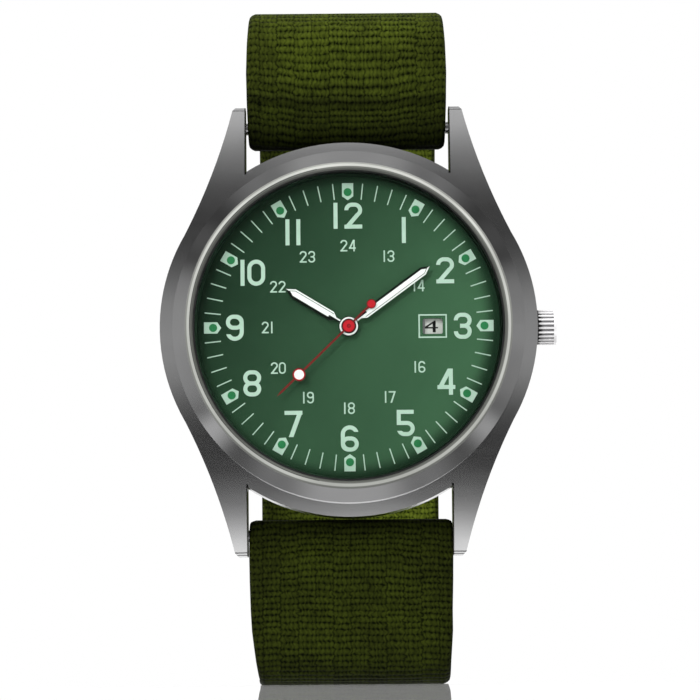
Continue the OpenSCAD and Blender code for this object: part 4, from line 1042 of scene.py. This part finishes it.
def light_scene():
    """White for the camera and the floor's mirror, a plain level for colours, and zones for the metal.

    The zones are white behind the watch and dark and light bands in front of it and beside it.
    """
    world = bpy.data.worlds.new("studio")
    bpy.context.scene.world = world
    world.use_nodes = True
    tree = world.node_tree
    background = tree.nodes["Background"]
    background.inputs["Color"].default_value = (1, 1, 1, 1)
    look = add(tree, "ShaderNodeTexCoord")
    split = add(tree, "ShaderNodeSeparateXYZ")
    tree.links.new(look.outputs["Generated"], split.inputs["Vector"])

    def zones(value, stops):
        """A smooth run of strengths over a share from 0 to 1."""
        band = add(tree, "ShaderNodeValToRGB")
        ramp = band.color_ramp
        ramp.interpolation = "EASE"
        for stop, (place, strength) in zip(ramp.elements, (stops[0], stops[-1])):
            stop.position, stop.color = place, (strength, strength, strength, 1)
        for place, strength in stops[1:-1]:
            ramp.elements.new(place).color = (strength, strength, strength, 1)
        tree.links.new(value, band.inputs["Fac"])
        return band.outputs["Color"]

    height = share_along(tree, split.outputs["Z"], 0.5)
    upright = zones(height, ((0.0, 0.42), (0.04, 0.5), (0.1, 1.2), (0.2, 1.7), (0.25, 1.1), (0.285, 0.15),
                             (0.36, 0.0), (0.42, 0.04), (0.5, 0.42), (0.58, 0.36), (0.65, 0.04), (0.73, 0.02),
                             (0.79, 0.22), (0.84, 0.75), (0.92, 1.1), (0.97, 0.5), (1.0, 0.36)))
    across = share_along(tree, split.outputs["X"], 0.5)
    sideways = zones(across, ((0.0, 1.0), (0.06, 0.75), (0.14, 0.04), (0.28, 0.25), (0.42, 1.0), (0.58, 1.0),
                              (0.72, 0.25), (0.86, 0.04), (0.94, 0.6), (1.0, 0.9)))
    front = sums(tree, "MULTIPLY", upright, sideways)
    behind = ranged(tree, split.outputs["Y"], 0.3, 0.65, kind="SMOOTHSTEP")
    sides = zones(across, ((0.0, 0.38), (0.03, 0.34), (0.07, 0.0), (0.93, 0.0), (0.97, 0.27), (1.0, 0.3)))
    polish = sums(tree, "MAXIMUM", sums(tree, "MAXIMUM", front, sides), behind)
    path = add(tree, "ShaderNodeLightPath")
    plain = add(tree, "ShaderNodeMix", data_type="FLOAT")
    plain.inputs["A"].default_value = PLAIN_LEVEL
    tree.links.new(polish, plain.inputs["B"])
    tree.links.new(path.outputs["Is Glossy Ray"], plain.inputs["Factor"])
    see = sums(tree, "MAXIMUM", path.outputs["Is Camera Ray"], path.outputs["Is Transmission Ray"])
    see = sums(tree, "MAXIMUM", see, path.outputs["Is Singular Ray"])
    tree.links.new(sums(tree, "MAXIMUM", plain.outputs["Result"], see), background.inputs["Strength"])
    add_lamp("soft_top", (0.05, -0.12, 0.55), (0.5, 0.35), 2.4)
    add_lamp("soft_front", (-0.2, -0.5, 0.25), (0.25, 0.25), 1.8)
    bpy.context.scene.view_settings.view_transform = "Standard"


def lay_floor():
    """A white floor that mirrors at a grazing angle: flat under the strap, and falling away in front."""
    bpy.ops.object.select_all(action="DESELECT")
    bpy.ops.mesh.primitive_grid_add(x_subdivisions=1, y_subdivisions=2, size=FLOOR_SIZE)
    floor = bpy.context.object
    floor.name = "floor"
    for corner in floor.data.vertices:
        if corner.co.y < -FLOOR_SIZE / 4:
            corner.co.z = corner.co.y * math.tan(math.radians(FLOOR_FALL))
    floor.location = (0, FRONT_BEND_Y * MM, -FOOT_REACH * MM)
    material, tree, _ = new_finish("glossy_floor")
    clear = add(tree, "ShaderNodeBsdfTransparent")
    mirror = add(tree, "ShaderNodeBsdfGlossy", Roughness=0.0)
    matt = add(tree, "ShaderNodeBsdfDiffuse")
    for part in (clear, mirror, matt):
        part.inputs["Color"].default_value = (1, 1, 1, 1)
    shadowed = add(tree, "ShaderNodeMixShader")
    shadowed.inputs["Fac"].default_value = FLOOR_MATT
    tree.links.new(clear.outputs["BSDF"], shadowed.inputs[1])
    tree.links.new(matt.outputs["BSDF"], shadowed.inputs[2])
    grazed = add(tree, "ShaderNodeLayerWeight", Blend=0.5)
    gloss = ranged(tree, grazed.outputs["Facing"], 0.8, 0.95, end=FLOOR_GLOSS)
    mix = add(tree, "ShaderNodeMixShader")
    tree.links.new(gloss, mix.inputs["Fac"])
    tree.links.new(shadowed.outputs["Shader"], mix.inputs[1])
    tree.links.new(mirror.outputs["BSDF"], mix.inputs[2])
    tree.links.new(mix.outputs["Shader"], tree.nodes["Material Output"].inputs["Surface"])
    floor.data.materials.append(material)
    floor.visible_glossy = False


aim_camera()
light_scene()
lay_floor()
